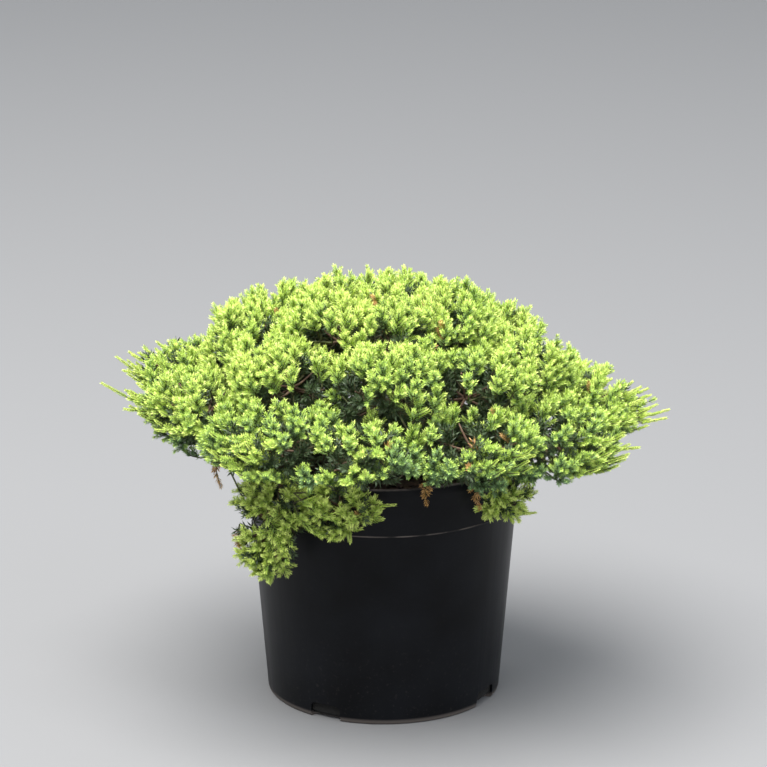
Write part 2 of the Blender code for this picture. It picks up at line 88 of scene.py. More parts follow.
# The container: a blow-moulded black nursery pot with a collar, a thick lip and four drain notches.
# It is turned from one wall outline, and the notches are cut through the foot of the wall.
POT_HEIGHT = 0.2747
BASE_RADIUS = 0.128
SHOULDER_RADIUS = 0.1462
SHOULDER_HEIGHT = 0.2197
RIM_RADIUS = 0.1525
WALL = 0.0024
POT_SIDES = 144


def only(thing):
    """Makes one object the selected and active one."""
    bpy.ops.object.select_all(action="DESELECT")
    thing.select_set(True)
    bpy.context.view_layer.objects.active = thing


def noise_node(nodes, links, place, scale, detail, stretch=(1.0, 1.0, 1.0)):
    """A noise texture on object coordinates, stretched along the axes."""
    mapping = nodes.new("ShaderNodeMapping")
    mapping.inputs["Scale"].default_value = stretch
    links.new(place.outputs["Object"], mapping.inputs["Vector"])
    noise = nodes.new("ShaderNodeTexNoise")
    noise.inputs["Scale"].default_value = scale
    noise.inputs["Detail"].default_value = detail
    links.new(mapping.outputs["Vector"], noise.inputs["Vector"])
    return noise


def ramp_node(nodes, links, source, stops):
    """A colour ramp with stops of (position, colour)."""
    ramp = nodes.new("ShaderNodeValToRGB")
    while len(ramp.color_ramp.elements) < len(stops):
        ramp.color_ramp.elements.new(0.5)
    for element, (position, colour) in zip(ramp.color_ramp.elements, stops):
        element.position = position
        element.color = (*colour, 1.0)
    links.new(source, ramp.inputs["Fac"])
    return ramp


def range_node(nodes, links, source, low, high, to_low, to_high):
    """Maps a value from one range to another, clamped."""
    node = nodes.new("ShaderNodeMapRange")
    node.inputs["From Min"].default_value = low
    node.inputs["From Max"].default_value = high
    node.inputs["To Min"].default_value = to_low
    node.inputs["To Max"].default_value = to_high
    links.new(source, node.inputs["Value"])
    return node


def bump_node(nodes, links, height, strength, distance):
    node = nodes.new("ShaderNodeBump")
    node.inputs["Strength"].default_value = strength
    node.inputs["Distance"].default_value = distance
    links.new(height, node.inputs["Height"])
    return node


def mix_colours(nodes, links, share, first, second):
    """Blends two colours, each a socket or a plain colour, by a socket's value."""
    node = nodes.new("ShaderNodeMix")
    node.data_type = "RGBA"
    links.new(share, node.inputs["Factor"])
    for socket, value in ((node.inputs["A"], first), (node.inputs["B"], second)):
        if isinstance(value, tuple):
            socket.default_value = (*value, 1.0)
        else:
            links.new(value, socket)
    return node


def new_material(name):
    material = bpy.data.materials.new(name)
    material.use_nodes = True
    tree = material.node_tree
    place = tree.nodes.new("ShaderNodeTexCoord")
    return material, tree.nodes, tree.links, tree.nodes["Principled BSDF"], place


def turned_wall(name, outline):
    """A wall turned from a bottom circle, one extrusion for each (radius, height) of its outline."""
    bpy.ops.object.select_all(action="DESELECT")
    radius, height = outline[0]
    bpy.ops.mesh.primitive_circle_add(vertices=POT_SIDES, radius=radius, fill_type="NGON",
                                      location=(0.0, 0.0, 0.0))
    thing = bpy.context.object
    thing.name = name
    bpy.ops.object.mode_set(mode="EDIT")
    bpy.ops.transform.translate(value=(0.0, 0.0, height))
    for wider, higher in outline[1:]:
        bpy.ops.mesh.extrude_region_move(TRANSFORM_OT_translate={"value": (0.0, 0.0, higher - height)})
        bpy.ops.transform.resize(value=(wider / radius, wider / radius, 1.0),
                                 center_override=(0.0, 0.0, higher))
        radius, height = wider, higher
    bpy.ops.mesh.select_all(action="SELECT")
    bpy.ops.mesh.normals_make_consistent(inside=False)
    bpy.ops.object.mode_set(mode="OBJECT")
    return thing


def notch_cutter(turn):
    """A rounded block, as wide as a drain notch, set across the foot of the wall."""
    depth, width, height, below = 0.024, 0.036, 0.0175, 0.004
    bpy.ops.object.select_all(action="DESELECT")
    bpy.ops.mesh.primitive_cube_add(size=1.0, location=(BASE_RADIUS, 0.0, (height - below) / 2.0))
    cutter = bpy.context.object
    cutter.scale = (depth, width, height + below)
    bpy.ops.object.transform_apply(location=True, rotation=False, scale=True)
    corners = cutter.data.vertices
    for edge in cutter.data.edges:
        a, b = (corners[k].co for k in edge.vertices)
        edge.select = a.z > height * 0.9 and b.z > height * 0.9 and a.y * b.y > 0.0
    bpy.ops.object.mode_set(mode="EDIT")
    bpy.ops.mesh.select_mode(type="EDGE")
    bpy.ops.object.mode_set(mode="OBJECT")
    for edge in cutter.data.edges:
        a, b = (corners[k].co for k in edge.vertices)
        edge.select = a.z > height * 0.9 and b.z > height * 0.9 and a.y * b.y > 0.0
    bpy.ops.object.mode_set(mode="EDIT")
    bpy.ops.mesh.bevel(offset=0.006, segments=5, affect="EDGES")
    bpy.ops.object.mode_set(mode="OBJECT")
    cutter.rotation_euler = (0.0, 0.0, turn)
    bpy.ops.object.transform_apply(location=False, rotation=True, scale=False)
    return cutter


collar = POT_HEIGHT - 0.028
lip = POT_HEIGHT - 0.011
pot = turned_wall("pot_wall", [
    (BASE_RADIUS - 0.0038, 0.0), (BASE_RADIUS - 0.0016, 0.0006), (BASE_RADIUS - 0.0004, 0.0020),
    (BASE_RADIUS, 0.0042), (SHOULDER_RADIUS - 0.0007, SHOULDER_HEIGHT - 0.0020),
    (SHOULDER_RADIUS - 0.0002, SHOULDER_HEIGHT - 0.0007), (SHOULDER_RADIUS + 0.0004, SHOULDER_HEIGHT),
    (SHOULDER_RADIUS + 0.0004, SHOULDER_HEIGHT + 0.0008), (SHOULDER_RADIUS, SHOULDER_HEIGHT + 0.0014),
    (SHOULDER_RADIUS + 0.0006, collar), (SHOULDER_RADIUS + 0.0020, collar + 0.0050),
    (RIM_RADIUS - 0.0012, lip), (RIM_RADIUS - 0.0002, lip + 0.0020), (RIM_RADIUS, lip + 0.0040),
    (RIM_RADIUS, POT_HEIGHT - 0.0022), (RIM_RADIUS - 0.0005, POT_HEIGHT - 0.0008),
    (RIM_RADIUS - 0.0014, POT_HEIGHT), (RIM_RADIUS - 0.0024, POT_HEIGHT - 0.0001),
    (RIM_RADIUS - 0.0033, POT_HEIGHT - 0.0012), (RIM_RADIUS - 0.0008 - WALL, lip),
    (SHOULDER_RADIUS + 0.0006 - WALL, collar), (BASE_RADIUS - WALL, WALL + 0.004),
    (BASE_RADIUS - WALL - 0.004, WALL),
])
for quarter in range(4):
    cutter = notch_cutter(math.radians(-29.5 + 90.0 * quarter))
    only(pot)
    cut = pot.modifiers.new("notch", "BOOLEAN")
    cut.operation = "DIFFERENCE"
    cut.object = cutter
    cut.solver = "EXACT"
    bpy.ops.object.modifier_apply(modifier="notch")
    bpy.data.objects.remove(cutter, do_unlink=True)
only(pot)
bpy.ops.object.shade_smooth_by_angle(angle=math.radians(32.0))

pot_plastic, nodes, links, shader, place = new_material("satin_black_plastic")
streaks = noise_node(nodes, links, place, 9.0, 6.0, (5.0, 5.0, 0.35))
cloud = noise_node(nodes, links, place, 14.0, 5.0)
apart = nodes.new("ShaderNodeSeparateXYZ")
links.new(place.outputs["Object"], apart.inputs["Vector"])
foot = range_node(nodes, links, apart.outputs["Z"], 0.0022, 0.0065, 1.0, 0.0)
film = range_node(nodes, links, apart.outputs["Z"], 0.0, 0.11, 0.10, 0.02)
grit = noise_node(nodes, links, place, 260.0, 3.0)
speckle = range_node(nodes, links, grit.outputs["Fac"], 0.60, 0.72, 0.0, 1.0)
dusty = nodes.new("ShaderNodeMath")
dusty.operation = "MULTIPLY"
links.new(film.outputs["Result"], dusty.inputs[0])
links.new(speckle.outputs["Result"], dusty.inputs[1])
either = nodes.new("ShaderNodeMath")
either.operation = "MAXIMUM"
links.new(dusty.outputs["Value"], either.inputs[0])
links.new(foot.outputs["Result"], either.inputs[1])
# Painted highlight: a pale line painted along the top of the collar bead and round the top of the lip, broken
# up by noise.
breakup_noise = noise_node(nodes, links, place, 30.0, 4.0)
highlight_breakup = range_node(nodes, links, breakup_noise.outputs["Fac"], 0.40, 0.58, 0.15, 1.0)
above_bead = range_node(nodes, links, apart.outputs["Z"],
                        SHOULDER_HEIGHT - 0.0006, SHOULDER_HEIGHT + 0.0002, 0.0, 1.0)
below_bead = range_node(nodes, links, apart.outputs["Z"],
                        SHOULDER_HEIGHT + 0.0008, SHOULDER_HEIGHT + 0.0014, 1.0, 0.0)
bead_highlight = nodes.new("ShaderNodeMath")
bead_highlight.operation = "MULTIPLY"
links.new(above_bead.outputs["Result"], bead_highlight.inputs[0])
links.new(below_bead.outputs["Result"], bead_highlight.inputs[1])
lip_highlight = range_node(nodes, links, apart.outputs["Z"], POT_HEIGHT - 0.0022, POT_HEIGHT - 0.0004, 0.0, 1.0)
edges = nodes.new("ShaderNodeMath")
edges.operation = "MAXIMUM"
links.new(bead_highlight.outputs["Value"], edges.inputs[0])
links.new(lip_highlight.outputs["Result"], edges.inputs[1])
broken_highlight = nodes.new("ShaderNodeMath")
broken_highlight.operation = "MULTIPLY"
links.new(edges.outputs["Value"], broken_highlight.inputs[0])
links.new(highlight_breakup.outputs["Result"], broken_highlight.inputs[1])
# Real dust along the foot and in specks, together with the painted highlight on the bead and the lip.
dust_and_highlight = nodes.new("ShaderNodeMath")
dust_and_highlight.operation = "MAXIMUM"
links.new(either.outputs["Value"], dust_and_highlight.inputs[0])
links.new(broken_highlight.outputs["Value"], dust_and_highlight.inputs[1])
soft = nodes.new("ShaderNodeMath")
soft.operation = "MULTIPLY"
soft.inputs[1].default_value = 0.5
links.new(dust_and_highlight.outputs["Value"], soft.inputs[0])
black = ramp_node(nodes, links, cloud.outputs["Fac"],
                  [(0.3, (0.0035, 0.0037, 0.0045)), (0.75, (0.0070, 0.0078, 0.0100))])
colour = mix_colours(nodes, links, soft.outputs["Value"], black.outputs["Color"], (0.24, 0.205, 0.185))
links.new(colour.outputs["Result"], shader.inputs["Base Color"])
sheen = range_node(nodes, links, streaks.outputs["Fac"], 0.3, 0.7, 0.34, 0.46)
rough = nodes.new("ShaderNodeMath")
rough.operation = "ADD"
links.new(sheen.outputs["Result"], rough.inputs[0])
links.new(soft.outputs["Value"], rough.inputs[1])
links.new(rough.outputs["Value"], shader.inputs["Roughness"])
shader.inputs["Specular IOR Level"].default_value = 0.11
ripple = bump_node(nodes, links, streaks.outputs["Fac"], 0.10, 0.002)
links.new(ripple.outputs["Normal"], shader.inputs["Normal"])
pot.data.materials.clear()
pot.data.materials.append(pot_plastic)
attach(pot, "root")
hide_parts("pot")


# The potting mix: dark moist bark, filled to a finger's width under the rim, and painted near-black low down
# as painted shade inside the pot.
# The solid keeps its shape and gets a crumbly finish, and loose bark chips lie on it.
MIX_TOP = POT_HEIGHT - 0.029
MIX_RADIUS = 0.141

mix, nodes, links, shader, place = new_material("bark_mix")
crumbs = noise_node(nodes, links, place, 160.0, 6.0)
clods = noise_node(nodes, links, place, 34.0, 4.0)
earth = ramp_node(nodes, links, crumbs.outputs["Fac"],
                  [(0.30, (0.012, 0.008, 0.006)), (0.52, (0.045, 0.027, 0.017)),
                   (0.72, (0.115, 0.070, 0.043))])
apart = nodes.new("ShaderNodeSeparateXYZ")
links.new(place.outputs["Object"], apart.inputs["Vector"])
# Painted shade: the mix turns near-black towards the bottom, where it shows through the drain notches.
bottom_shade = range_node(nodes, links, apart.outputs["Z"], 0.02, 0.06, 0.0, 1.0)
shaded_earth = mix_colours(nodes, links, bottom_shade.outputs["Result"], (0.003, 0.0025, 0.002), earth.outputs["Color"])
links.new(shaded_earth.outputs["Result"], shader.inputs["Base Color"])
shader.inputs["Roughness"].default_value = 0.95
heave = bump_node(nodes, links, clods.outputs["Fac"], 0.6, 0.006)
grain = bump_node(nodes, links, crumbs.outputs["Fac"], 0.8, 0.002)
links.new(heave.outputs["Normal"], grain.inputs["Normal"])
links.new(grain.outputs["Normal"], shader.inputs["Normal"])
mix_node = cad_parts["potting_mix"]
mix_node.data.materials.clear()
mix_node.data.materials.append(mix)


def array_piece(name, corners, faces, material):
    """A piece made from arrays of corners and of three- or four-cornered faces, riding on the root."""
    mesh = bpy.data.meshes.new(name)
    mesh.vertices.add(len(corners))
    mesh.vertices.foreach_set("co", np.ascontiguousarray(corners, dtype=np.float32).ravel())
    mesh.loops.add(faces.size)
    mesh.loops.foreach_set("vertex_index", np.ascontiguousarray(faces, dtype=np.int32).ravel())
    mesh.polygons.add(len(faces))
    mesh.polygons.foreach_set("loop_start", np.arange(0, faces.size, faces.shape[1], dtype=np.int32))
    mesh.update(calc_edges=True)
    mesh.validate()
    mesh.materials.append(material)
    thing = bpy.data.objects.new(name, mesh)
    bpy.context.scene.collection.objects.link(thing)
    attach(thing, "root")
    return thing


draw = random.Random(7)
chip_corners = []
chip_faces = []
for number in range(420):
    turn = draw.uniform(0.0, 2.0 * math.pi)
    out = MIX_RADIUS * 0.965 * math.sqrt(draw.uniform(0.02, 1.0))
    middle = Vector((out * math.cos(turn), out * math.sin(turn), MIX_TOP + draw.uniform(0.0004, 0.0030)))
    length, width, thick = draw.uniform(0.004, 0.012), draw.uniform(0.003, 0.006), draw.uniform(0.001, 0.0026)
    yaw, lean = draw.uniform(0.0, math.pi), draw.uniform(-0.25, 0.25)
    along = Vector((math.cos(yaw) * math.cos(lean), math.sin(yaw) * math.cos(lean), math.sin(lean)))
    aside = Vector((-math.sin(yaw), math.cos(yaw), draw.uniform(-0.2, 0.2))).normalized()
    up = along.cross(aside)
    first = len(chip_corners)
    for level in (-1.0, 1.0):
        for step in range(5):
            angle = 2.0 * math.pi * step / 5.0
            reach = draw.uniform(0.75, 1.1) * (1.0 if level < 0.0 else 0.8)
            chip_corners.append(middle + along * (length * 0.5 * reach * math.cos(angle))
                                + aside * (width * 0.5 * reach * math.sin(angle))
                                + up * (thick * 0.5 * level))
    for step in range(5):
        after = (step + 1) % 5
        chip_faces.append((first + step, first + after, first + 5 + after))
        chip_faces.append((first + step, first + 5 + after, first + 5 + step))
    for step in (1, 2, 3):
        chip_faces.append((first, first + step + 1, first + step))
        chip_faces.append((first + 5, first + 5 + step, first + 6 + step))
chip_wood, nodes, links, shader, place = new_material("bark_chips")
patches = noise_node(nodes, links, place, 90.0, 3.0)
fibres = noise_node(nodes, links, place, 900.0, 3.0)
# Dark bark colours, partly painted shade: they are darkened further for the shade under the crown.
chip_colour = ramp_node(nodes, links, patches.outputs["Fac"],
                        [(0.35, (0.020, 0.013, 0.009)), (0.55, (0.058, 0.036, 0.024)),
                         (0.70, (0.12, 0.082, 0.056))])
links.new(chip_colour.outputs["Color"], shader.inputs["Base Color"])
shader.inputs["Roughness"].default_value = 0.9
rough_bark = bump_node(nodes, links, fibres.outputs["Fac"], 0.5, 0.0006)
links.new(rough_bark.outputs["Normal"], shader.inputs["Normal"])
array_piece("bark_chips", np.array(chip_corners), np.array(chip_faces), chip_wood)


# The plan of the crown: a short leaning trunk, a bough to each foliage mass, and the mass's own space.
# A mass is an egg cut flat where a neighbour or the pot begins, as in the solids.
CLEAR = 0.0003
TRUNK_FOOT = MIX_TOP + CLEAR
TRUNK_TOP = 0.366
TRUNK_RADIUS = 0.0125
TRUNK_TIP_RADIUS = 0.0055
TRUNK_LEAN = (0.012, 0.006)
FLARE = 0.007
FLARE_HEIGHT = 0.022
LOW_RING = {"count": 11, "first": 4.0, "radius": 0.195, "height": 0.325, "tilt": 4.0,
            "half": (0.088, 0.078, 0.047), "sprays": 10, "leaders": 2, "seed": 351}
MID_RING = {"count": 8, "first": -92.0, "radius": 0.124, "height": 0.366, "tilt": 22.0,
            "half": (0.082, 0.072, 0.055), "sprays": 9, "leaders": 0, "seed": 23}
UPPER_RING = {"count": 5, "first": -70.0, "radius": 0.058, "height": 0.402, "tilt": 42.0,
              "half": (0.064, 0.062, 0.050), "sprays": 7, "leaders": 0, "seed": 31}
TOP = {"height": 0.424, "half": (0.044, 0.044, 0.034), "sprays": 6, "seed": 41}
DROOPS = (
    (-140.0, -128.0, 0.190, 0.236, (0.034, 0.054, 0.068), 11),
    (-95.0, -104.0, 0.186, 0.266, (0.030, 0.048, 0.036), 7),
    (-43.0, -43.0, 0.182, 0.266, (0.026, 0.034, 0.034), 6),
    (75.0, 75.0, 0.186, 0.256, (0.030, 0.052, 0.044), 7),
)
SIDE_REACH = 0.012
SIDE_TILT = 7.0
LEFT_LIFT = 0.010
BACK_DROP = 0.010
FULLNESS = 2.6
SEAM = 0.0012
GOLDEN_ANGLE = math.pi * (3.0 - math.sqrt(5.0))
POLES = {"low": (0.7, 0.0, 1.0), "mid": (0.4, 0.0, 1.0), "upper": (0.2, 0.0, 1.0),
         "top": (0.0, 0.0, 1.0), "droop": (1.0, 0.0, -0.35)}
LIMBS = {
    "low": {"heights": (0.271, 0.281, 0.291), "rise": 0.30, "radii": (0.0046, 0.0028)},
    "mid": {"heights": (0.305, 0.317), "rise": 0.60, "radii": (0.0042, 0.0026)},
    "upper": {"heights": (0.338, 0.350), "rise": 1.20, "radii": (0.0034, 0.0024)},
    "droop": {"heights": (0.260,), "rise": 0.30, "radii": (0.0044, 0.0026)},
}


def level_way(turn):
    """The level unit vector at an angle round the upright axis."""
    return Vector((math.cos(turn), math.sin(turn), 0.0))


def trunk_axis(height):
    """The middle of the leaning trunk at a height."""
    share = (height - TRUNK_FOOT) / (TRUNK_TOP - TRUNK_FOOT)
    bend = share * share * (3.0 - 2.0 * share)
    return Vector((TRUNK_LEAN[0] * bend, TRUNK_LEAN[1] * share, height))


def trunk_radius(height, turn):
    """The trunk's radius at a height and an angle, with root ridges that flare at the foot."""
    share = (height - TRUNK_FOOT) / (TRUNK_TOP - TRUNK_FOOT)
    flare = FLARE * max(0.0, 1.0 - (height - TRUNK_FOOT) / FLARE_HEIGHT) ** 2
    ridge = 1.0 + 0.35 * math.sin(4.0 * turn + 0.6)
    return TRUNK_RADIUS + (TRUNK_TIP_RADIUS - TRUNK_RADIUS) * share + flare * ridge


class Mass:
    """The space that one foliage mass keeps to."""

    def __init__(self, kind, order, middle, azimuth, tilt, half, sprays, leaders, seed):
        rise = math.radians(tilt)
        self.kind = kind
        self.order = order
        self.turn = math.radians(azimuth)
        self.start_turn = self.turn
        self.middle = middle
        self.half = half
        self.sprays = sprays
        self.leaders = leaders
        self.seed = seed
        self.outward = level_way(self.turn) * math.cos(rise) + Vector((0.0, 0.0, math.sin(rise)))
        self.sideways = Vector((-math.sin(self.turn), math.cos(self.turn), 0.0))
        self.upward = self.outward.cross(self.sideways).normalized()
        self.walls = []

    def point(self, direction, share):
        """The place at a share of the way to the egg's surface, along one of its own directions."""
        share = share / sum(abs(value) ** FULLNESS for value in direction) ** (1.0 / FULLNESS)
        return self.middle + (self.outward * (direction.x * self.half[0])
                              + self.sideways * (direction.y * self.half[1])
                              + self.upward * (direction.z * self.half[2])) * share

    def facing(self, direction):
        """The way that the egg's surface faces, seen from its middle along one of its own directions."""
        return (self.outward * (direction.x / self.half[0]) + self.sideways * (direction.y / self.half[1])
                + self.upward * (direction.z / self.half[2])).normalized()

    def reach_towards(self, way):
        """How far the egg reaches from its middle along a world direction."""
        parts = (way.dot(self.outward) / self.half[0], way.dot(self.sideways) / self.half[1],
                 way.dot(self.upward) / self.half[2])
        return 1.0 / sum(abs(value) ** FULLNESS for value in parts) ** (1.0 / FULLNESS)

    def add_wall(self, way, distance):
        self.walls.append((way, way.dot(self.middle) + distance))

    def drawn_in(self, place, margin):
        """The place, drawn in towards the middle until it clears the walls, and how far it was."""
        share = 1.0
        step = place - self.middle
        for way, limit in self.walls:
            rise = way.dot(step)
            room = max(limit - margin - way.dot(self.middle), 0.0)
            if rise > room:
                share = min(share, room / rise)
        return self.middle + step * share, share


def ring_of_masses(kind, ring):
    """The masses of one ring, evenly round the trunk with a small seeded change in each."""
    draw = random.Random(ring["seed"])
    spread = ring["radius"] / LOW_RING["radius"]
    ringed = []
    for i in range(ring["count"]):
        azimuth = ring["first"] + 360.0 / ring["count"] * i + draw.uniform(-4.0, 4.0)
        turn = math.radians(azimuth)
        right, back = math.cos(turn), max(0.0, math.sin(turn))
        radius = ring["radius"] + SIDE_REACH * spread * abs(right) ** 1.5 + draw.uniform(-0.005, 0.005)
        lift = -spread * (LEFT_LIFT * right + BACK_DROP * back) + draw.uniform(-0.005, 0.005)
        tilt = ring["tilt"] - SIDE_TILT * spread * right + draw.uniform(-4.0, 4.0)
        size = draw.uniform(0.95, 1.05)
        middle = level_way(turn) * radius + Vector((0.0, 0.0, ring["height"] + lift))
        ringed.append(Mass(kind, i, middle, azimuth, tilt, tuple(value * size for value in ring["half"]),
                           ring["sprays"], ring["leaders"], ring["seed"] * 100 + i))
    return ringed


def plan_masses():
    """Every mass of the crown, with walls against the pot and against its neighbours."""
    ringed = [*ring_of_masses("low", LOW_RING), *ring_of_masses("mid", MID_RING),
              *ring_of_masses("upper", UPPER_RING)]
    for mass in ringed:
        mass.add_wall(Vector((0.0, 0.0, -1.0)), mass.middle.z - POT_HEIGHT - 0.006)
    droops = []
    for i, (start, azimuth, radius, height, half, sprays) in enumerate(DROOPS):
        way_out = level_way(math.radians(azimuth))
        mass = Mass("droop", i, way_out * radius + Vector((0.0, 0.0, height)), azimuth, 0.0,
                    half, sprays, 0, 5000 + i)
        mass.start_turn = math.radians(start)
        mass.add_wall(-way_out, radius - RIM_RADIUS - 0.003)
        droops.append(mass)
    middle = trunk_axis(TRUNK_TOP)
    middle.z = TOP["height"]
    top = Mass("top", 0, middle, 0.0, 0.0, TOP["half"], TOP["sprays"], 0, TOP["seed"] * 100)
    planned = [*ringed, top, *droops]
    for mass in planned:
        for other in planned:
            if other is not mass:
                way = (other.middle - mass.middle).normalized()
                own = mass.reach_towards(way)
                share = own / (own + other.reach_towards(way))
                mass.add_wall(way, (other.middle - mass.middle).length * share - SEAM)
    return planned


def mass_root(mass):
    """Where the bough enters a mass, and the way it is heading there."""
    if mass.kind == "droop":
        root = level_way(mass.turn) * (RIM_RADIUS + 0.018) + Vector((0.0, 0.0, POT_HEIGHT + 0.012))
        return root, (level_way(mass.turn) - Vector((0.0, 0.0, 0.10))).normalized()
    root = mass.middle - mass.outward * (mass.half[0] * 0.86) - mass.upward * (mass.half[2] * 0.30)
    return root, (mass.middle - root).normalized()


def across(direction):
    """Two unit vectors square to a direction, the first one level."""
    level = direction.cross(Vector((0.0, 0.0, 1.0)))
    if level.length < 0.05:
        level = direction.cross(Vector((1.0, 0.0, 0.0)))
    level.normalize()
    return level, direction.cross(level).normalized()


def underside(place):
    """How low the crown hangs over a place: it rises outward to the left, and shows the rim in front."""
    out = math.hypot(place.x, place.y)
    slope = 0.15 - 0.15 * place.x / max(out, 0.001)
    gap = 0.015 * math.exp(-((place.x - 0.022) / 0.040) ** 2) if place.y < 0.0 else 0.0
    return POT_HEIGHT + 0.008 + slope * max(0.0, out - 0.17) + gap


masses = plan_masses()


# Trunk, boughs and the main twigs inside the masses: thin reddish-brown bark that peels in strips.
# Each is one tapering limb drawn as a path with a radius at every point, then given its bark's relief.
BOUGH_POINTS = 30
TRUNK_POINTS = 64
STEM_POINTS = 9


def bezier_path(a, b, c, d, count):
    """Points along a cubic curve from a to d."""
    steps = [i / (count - 1) for i in range(count)]
    return [a * (1.0 - s) ** 3 + b * (3.0 * (1.0 - s) ** 2 * s) + c * (3.0 * (1.0 - s) * s * s) + d * s ** 3
            for s in steps]


def limbs(name, paths, roundness):
    """A mesh of closed limbs, one for each path of (place, radius) points."""
    curve = bpy.data.curves.new(name, "CURVE")
    curve.dimensions = "3D"
    curve.bevel_depth = 1.0
    curve.bevel_resolution = roundness
    curve.use_fill_caps = True
    for path in paths:
        spline = curve.splines.new("POLY")
        spline.points.add(len(path) - 1)
        for point, (place, radius) in zip(spline.points, path):
            point.co = (*place, 1.0)
            point.radius = radius
    thing = bpy.data.objects.new(name, curve)
    bpy.context.scene.collection.objects.link(thing)
    only(thing)
    bpy.ops.object.convert(target="MESH")
    return bpy.context.object


def add_relief(thing, name, kind, size, strength):
    """Pushes a mesh in and out by a noise of the given size."""
    pattern = bpy.data.textures.new(name, kind)
    pattern.noise_scale = size
    only(thing)
    push = thing.modifiers.new(name, "DISPLACE")
    push.texture = pattern
    push.texture_coords = "LOCAL"
    push.strength = strength
    push.mid_level = 0.5
    bpy.ops.object.modifier_apply(modifier=name)


def spray_directions(mass):
    """Even directions over the upper and outer part of a mass, each with its own stretch."""
    draw = random.Random(mass.seed)
    pole = Vector(POLES[mass.kind]).normalized()
    level, upright = across(pole)
    directions = []
    for i in range(mass.sprays):
        drop = 1.0 - 1.62 * (i + 0.5) / mass.sprays
        ring = math.sqrt(max(0.0, 1.0 - drop * drop))
        turn = i * GOLDEN_ANGLE + draw.uniform(-0.25, 0.25)
        direction = pole * drop + level * (ring * math.cos(turn)) + upright * (ring * math.sin(turn))
        directions.append((direction, draw.uniform(0.96, 1.08)))
    return directions


trunk_path = []
for i in range(TRUNK_POINTS):
    height = TRUNK_FOOT + (TRUNK_TOP - TRUNK_FOOT) * (i / (TRUNK_POINTS - 1)) ** 1.25
    trunk_path.append((trunk_axis(height), 1.0))
trunk = limbs("trunk", [trunk_path], 14)
for corner in trunk.data.vertices:
    height = min(max(corner.co.z, TRUNK_FOOT), TRUNK_TOP)
    middle = trunk_axis(height)
    way = Vector((corner.co.x - middle.x, corner.co.y - middle.y, 0.0))
    if way.length > 1e-6:
        turn = math.atan2(way.y, way.x)
        strip = 1.0 + 0.05 * math.sin(9.0 * turn + 2.0 * math.sin(height * 60.0))
        corner.co = middle + way.normalized() * trunk_radius(height, turn) * strip
    else:
        corner.co = middle
only(trunk)
add_relief(trunk, "peeling_bark", "CLOUDS", 0.006, 0.0022)

bough_paths = []
stem_paths = []
spray_stems = {}
for mass in masses:
    if mass.kind == "top":
        start = trunk_axis(TRUNK_TOP - 0.004)
        route = bezier_path(start, start.lerp(mass.middle, 0.3), start.lerp(mass.middle, 0.7), mass.middle,
                            BOUGH_POINTS)
        radii = (0.0048, 0.0020)
    else:
        kind = LIMBS[mass.kind]
        root, arrival = mass_root(mass)
        height = kind["heights"][mass.order % len(kind["heights"])]
        start = trunk_axis(height) + level_way(mass.start_turn) * 0.004
        departure = (level_way(mass.start_turn) + Vector((0.0, 0.0, kind["rise"]))).normalized()
        length = (root - start).length
        route = bezier_path(start, start + departure * (length * 0.38), root - arrival * (length * 0.34),
                            root, BOUGH_POINTS)
        route += bezier_path(root, root.lerp(mass.middle, 0.3), root.lerp(mass.middle, 0.7), mass.middle,
                             STEM_POINTS)[1:]
        radii = (kind["radii"][0], kind["radii"][1] * 0.6)
    thinner = (radii[1] - radii[0]) / (len(route) - 1)
    bough_paths.append([(place, radii[0] + thinner * i) for i, place in enumerate(route)])
    stems = []
    for direction, stretch in spray_directions(mass):
        tip, share = mass.drawn_in(mass.point(direction, 0.60 * stretch), 0.010)
        if share * stretch < 0.5 or (mass.kind != "droop" and tip.z < underside(tip) + 0.012):
            continue
        sag = (tip - mass.middle).length * 0.12
        half_way = mass.middle.lerp(tip, 0.5) - Vector((0.0, 0.0, sag))
        stem = bezier_path(mass.middle, mass.middle.lerp(half_way, 0.7), half_way.lerp(tip, 0.4), tip,
                           STEM_POINTS)
        stems.append(stem)
        stem_paths.append([(place, 0.0015 - 0.00008 * i) for i, place in enumerate(stem)])
    spray_stems[mass] = stems
wood = limbs("trunk_and_boughs", bough_paths, 4)
add_relief(wood, "bark_strips", "CLOUDS", 0.004, 0.0014)
stem_wood = limbs("spray_stems", stem_paths, 2)
only(wood)
trunk.select_set(True)
stem_wood.select_set(True)
bpy.ops.object.join()
bpy.ops.object.shade_smooth_by_angle(angle=math.radians(50.0))

bark, nodes, links, shader, place = new_material("juniper_bark")
strips = noise_node(nodes, links, place, 55.0, 5.0, (1.0, 1.0, 0.35))
flakes = noise_node(nodes, links, place, 260.0, 4.0)
bark_colour = ramp_node(nodes, links, strips.outputs["Fac"],
                        [(0.30, (0.045, 0.026, 0.018)), (0.52, (0.130, 0.072, 0.045)),
                         (0.74, (0.26, 0.17, 0.115))])
links.new(bark_colour.outputs["Color"], shader.inputs["Base Color"])
shader.inputs["Roughness"].default_value = 0.85
peel = bump_node(nodes, links, flakes.outputs["Fac"], 0.7, 0.0012)
links.new(peel.outputs["Normal"], shader.inputs["Normal"])
wood.data.materials.clear()
wood.data.materials.append(bark)
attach(wood, "root")
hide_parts("trunk", *[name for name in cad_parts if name.startswith("bough_")])


# Foliage: plumes of short prickly shoots over every mass, feathery sprays at its edge, and twigs inside with
# needles painted near-black as painted shade.
# A plume is a twig with side shoots round its head, and a shoot is a twig with whorls of three needles.
PLUME_SPACING = 0.0222
PLUME_LENGTH = 0.037
PLUME_SHOOTS = 10
SHOOT_LENGTH = 0.0135
NEEDLE_LENGTH = 0.0047
NEEDLE_WIDTH = 0.00150
WHORL_STEP = 0.00135
CROWN_MIDDLE = Vector((0.0, 0.0, 0.285))
CROWN_HALF = (0.31, 0.295, 0.18)
UP = Vector((0.0, 0.0, 1.0))

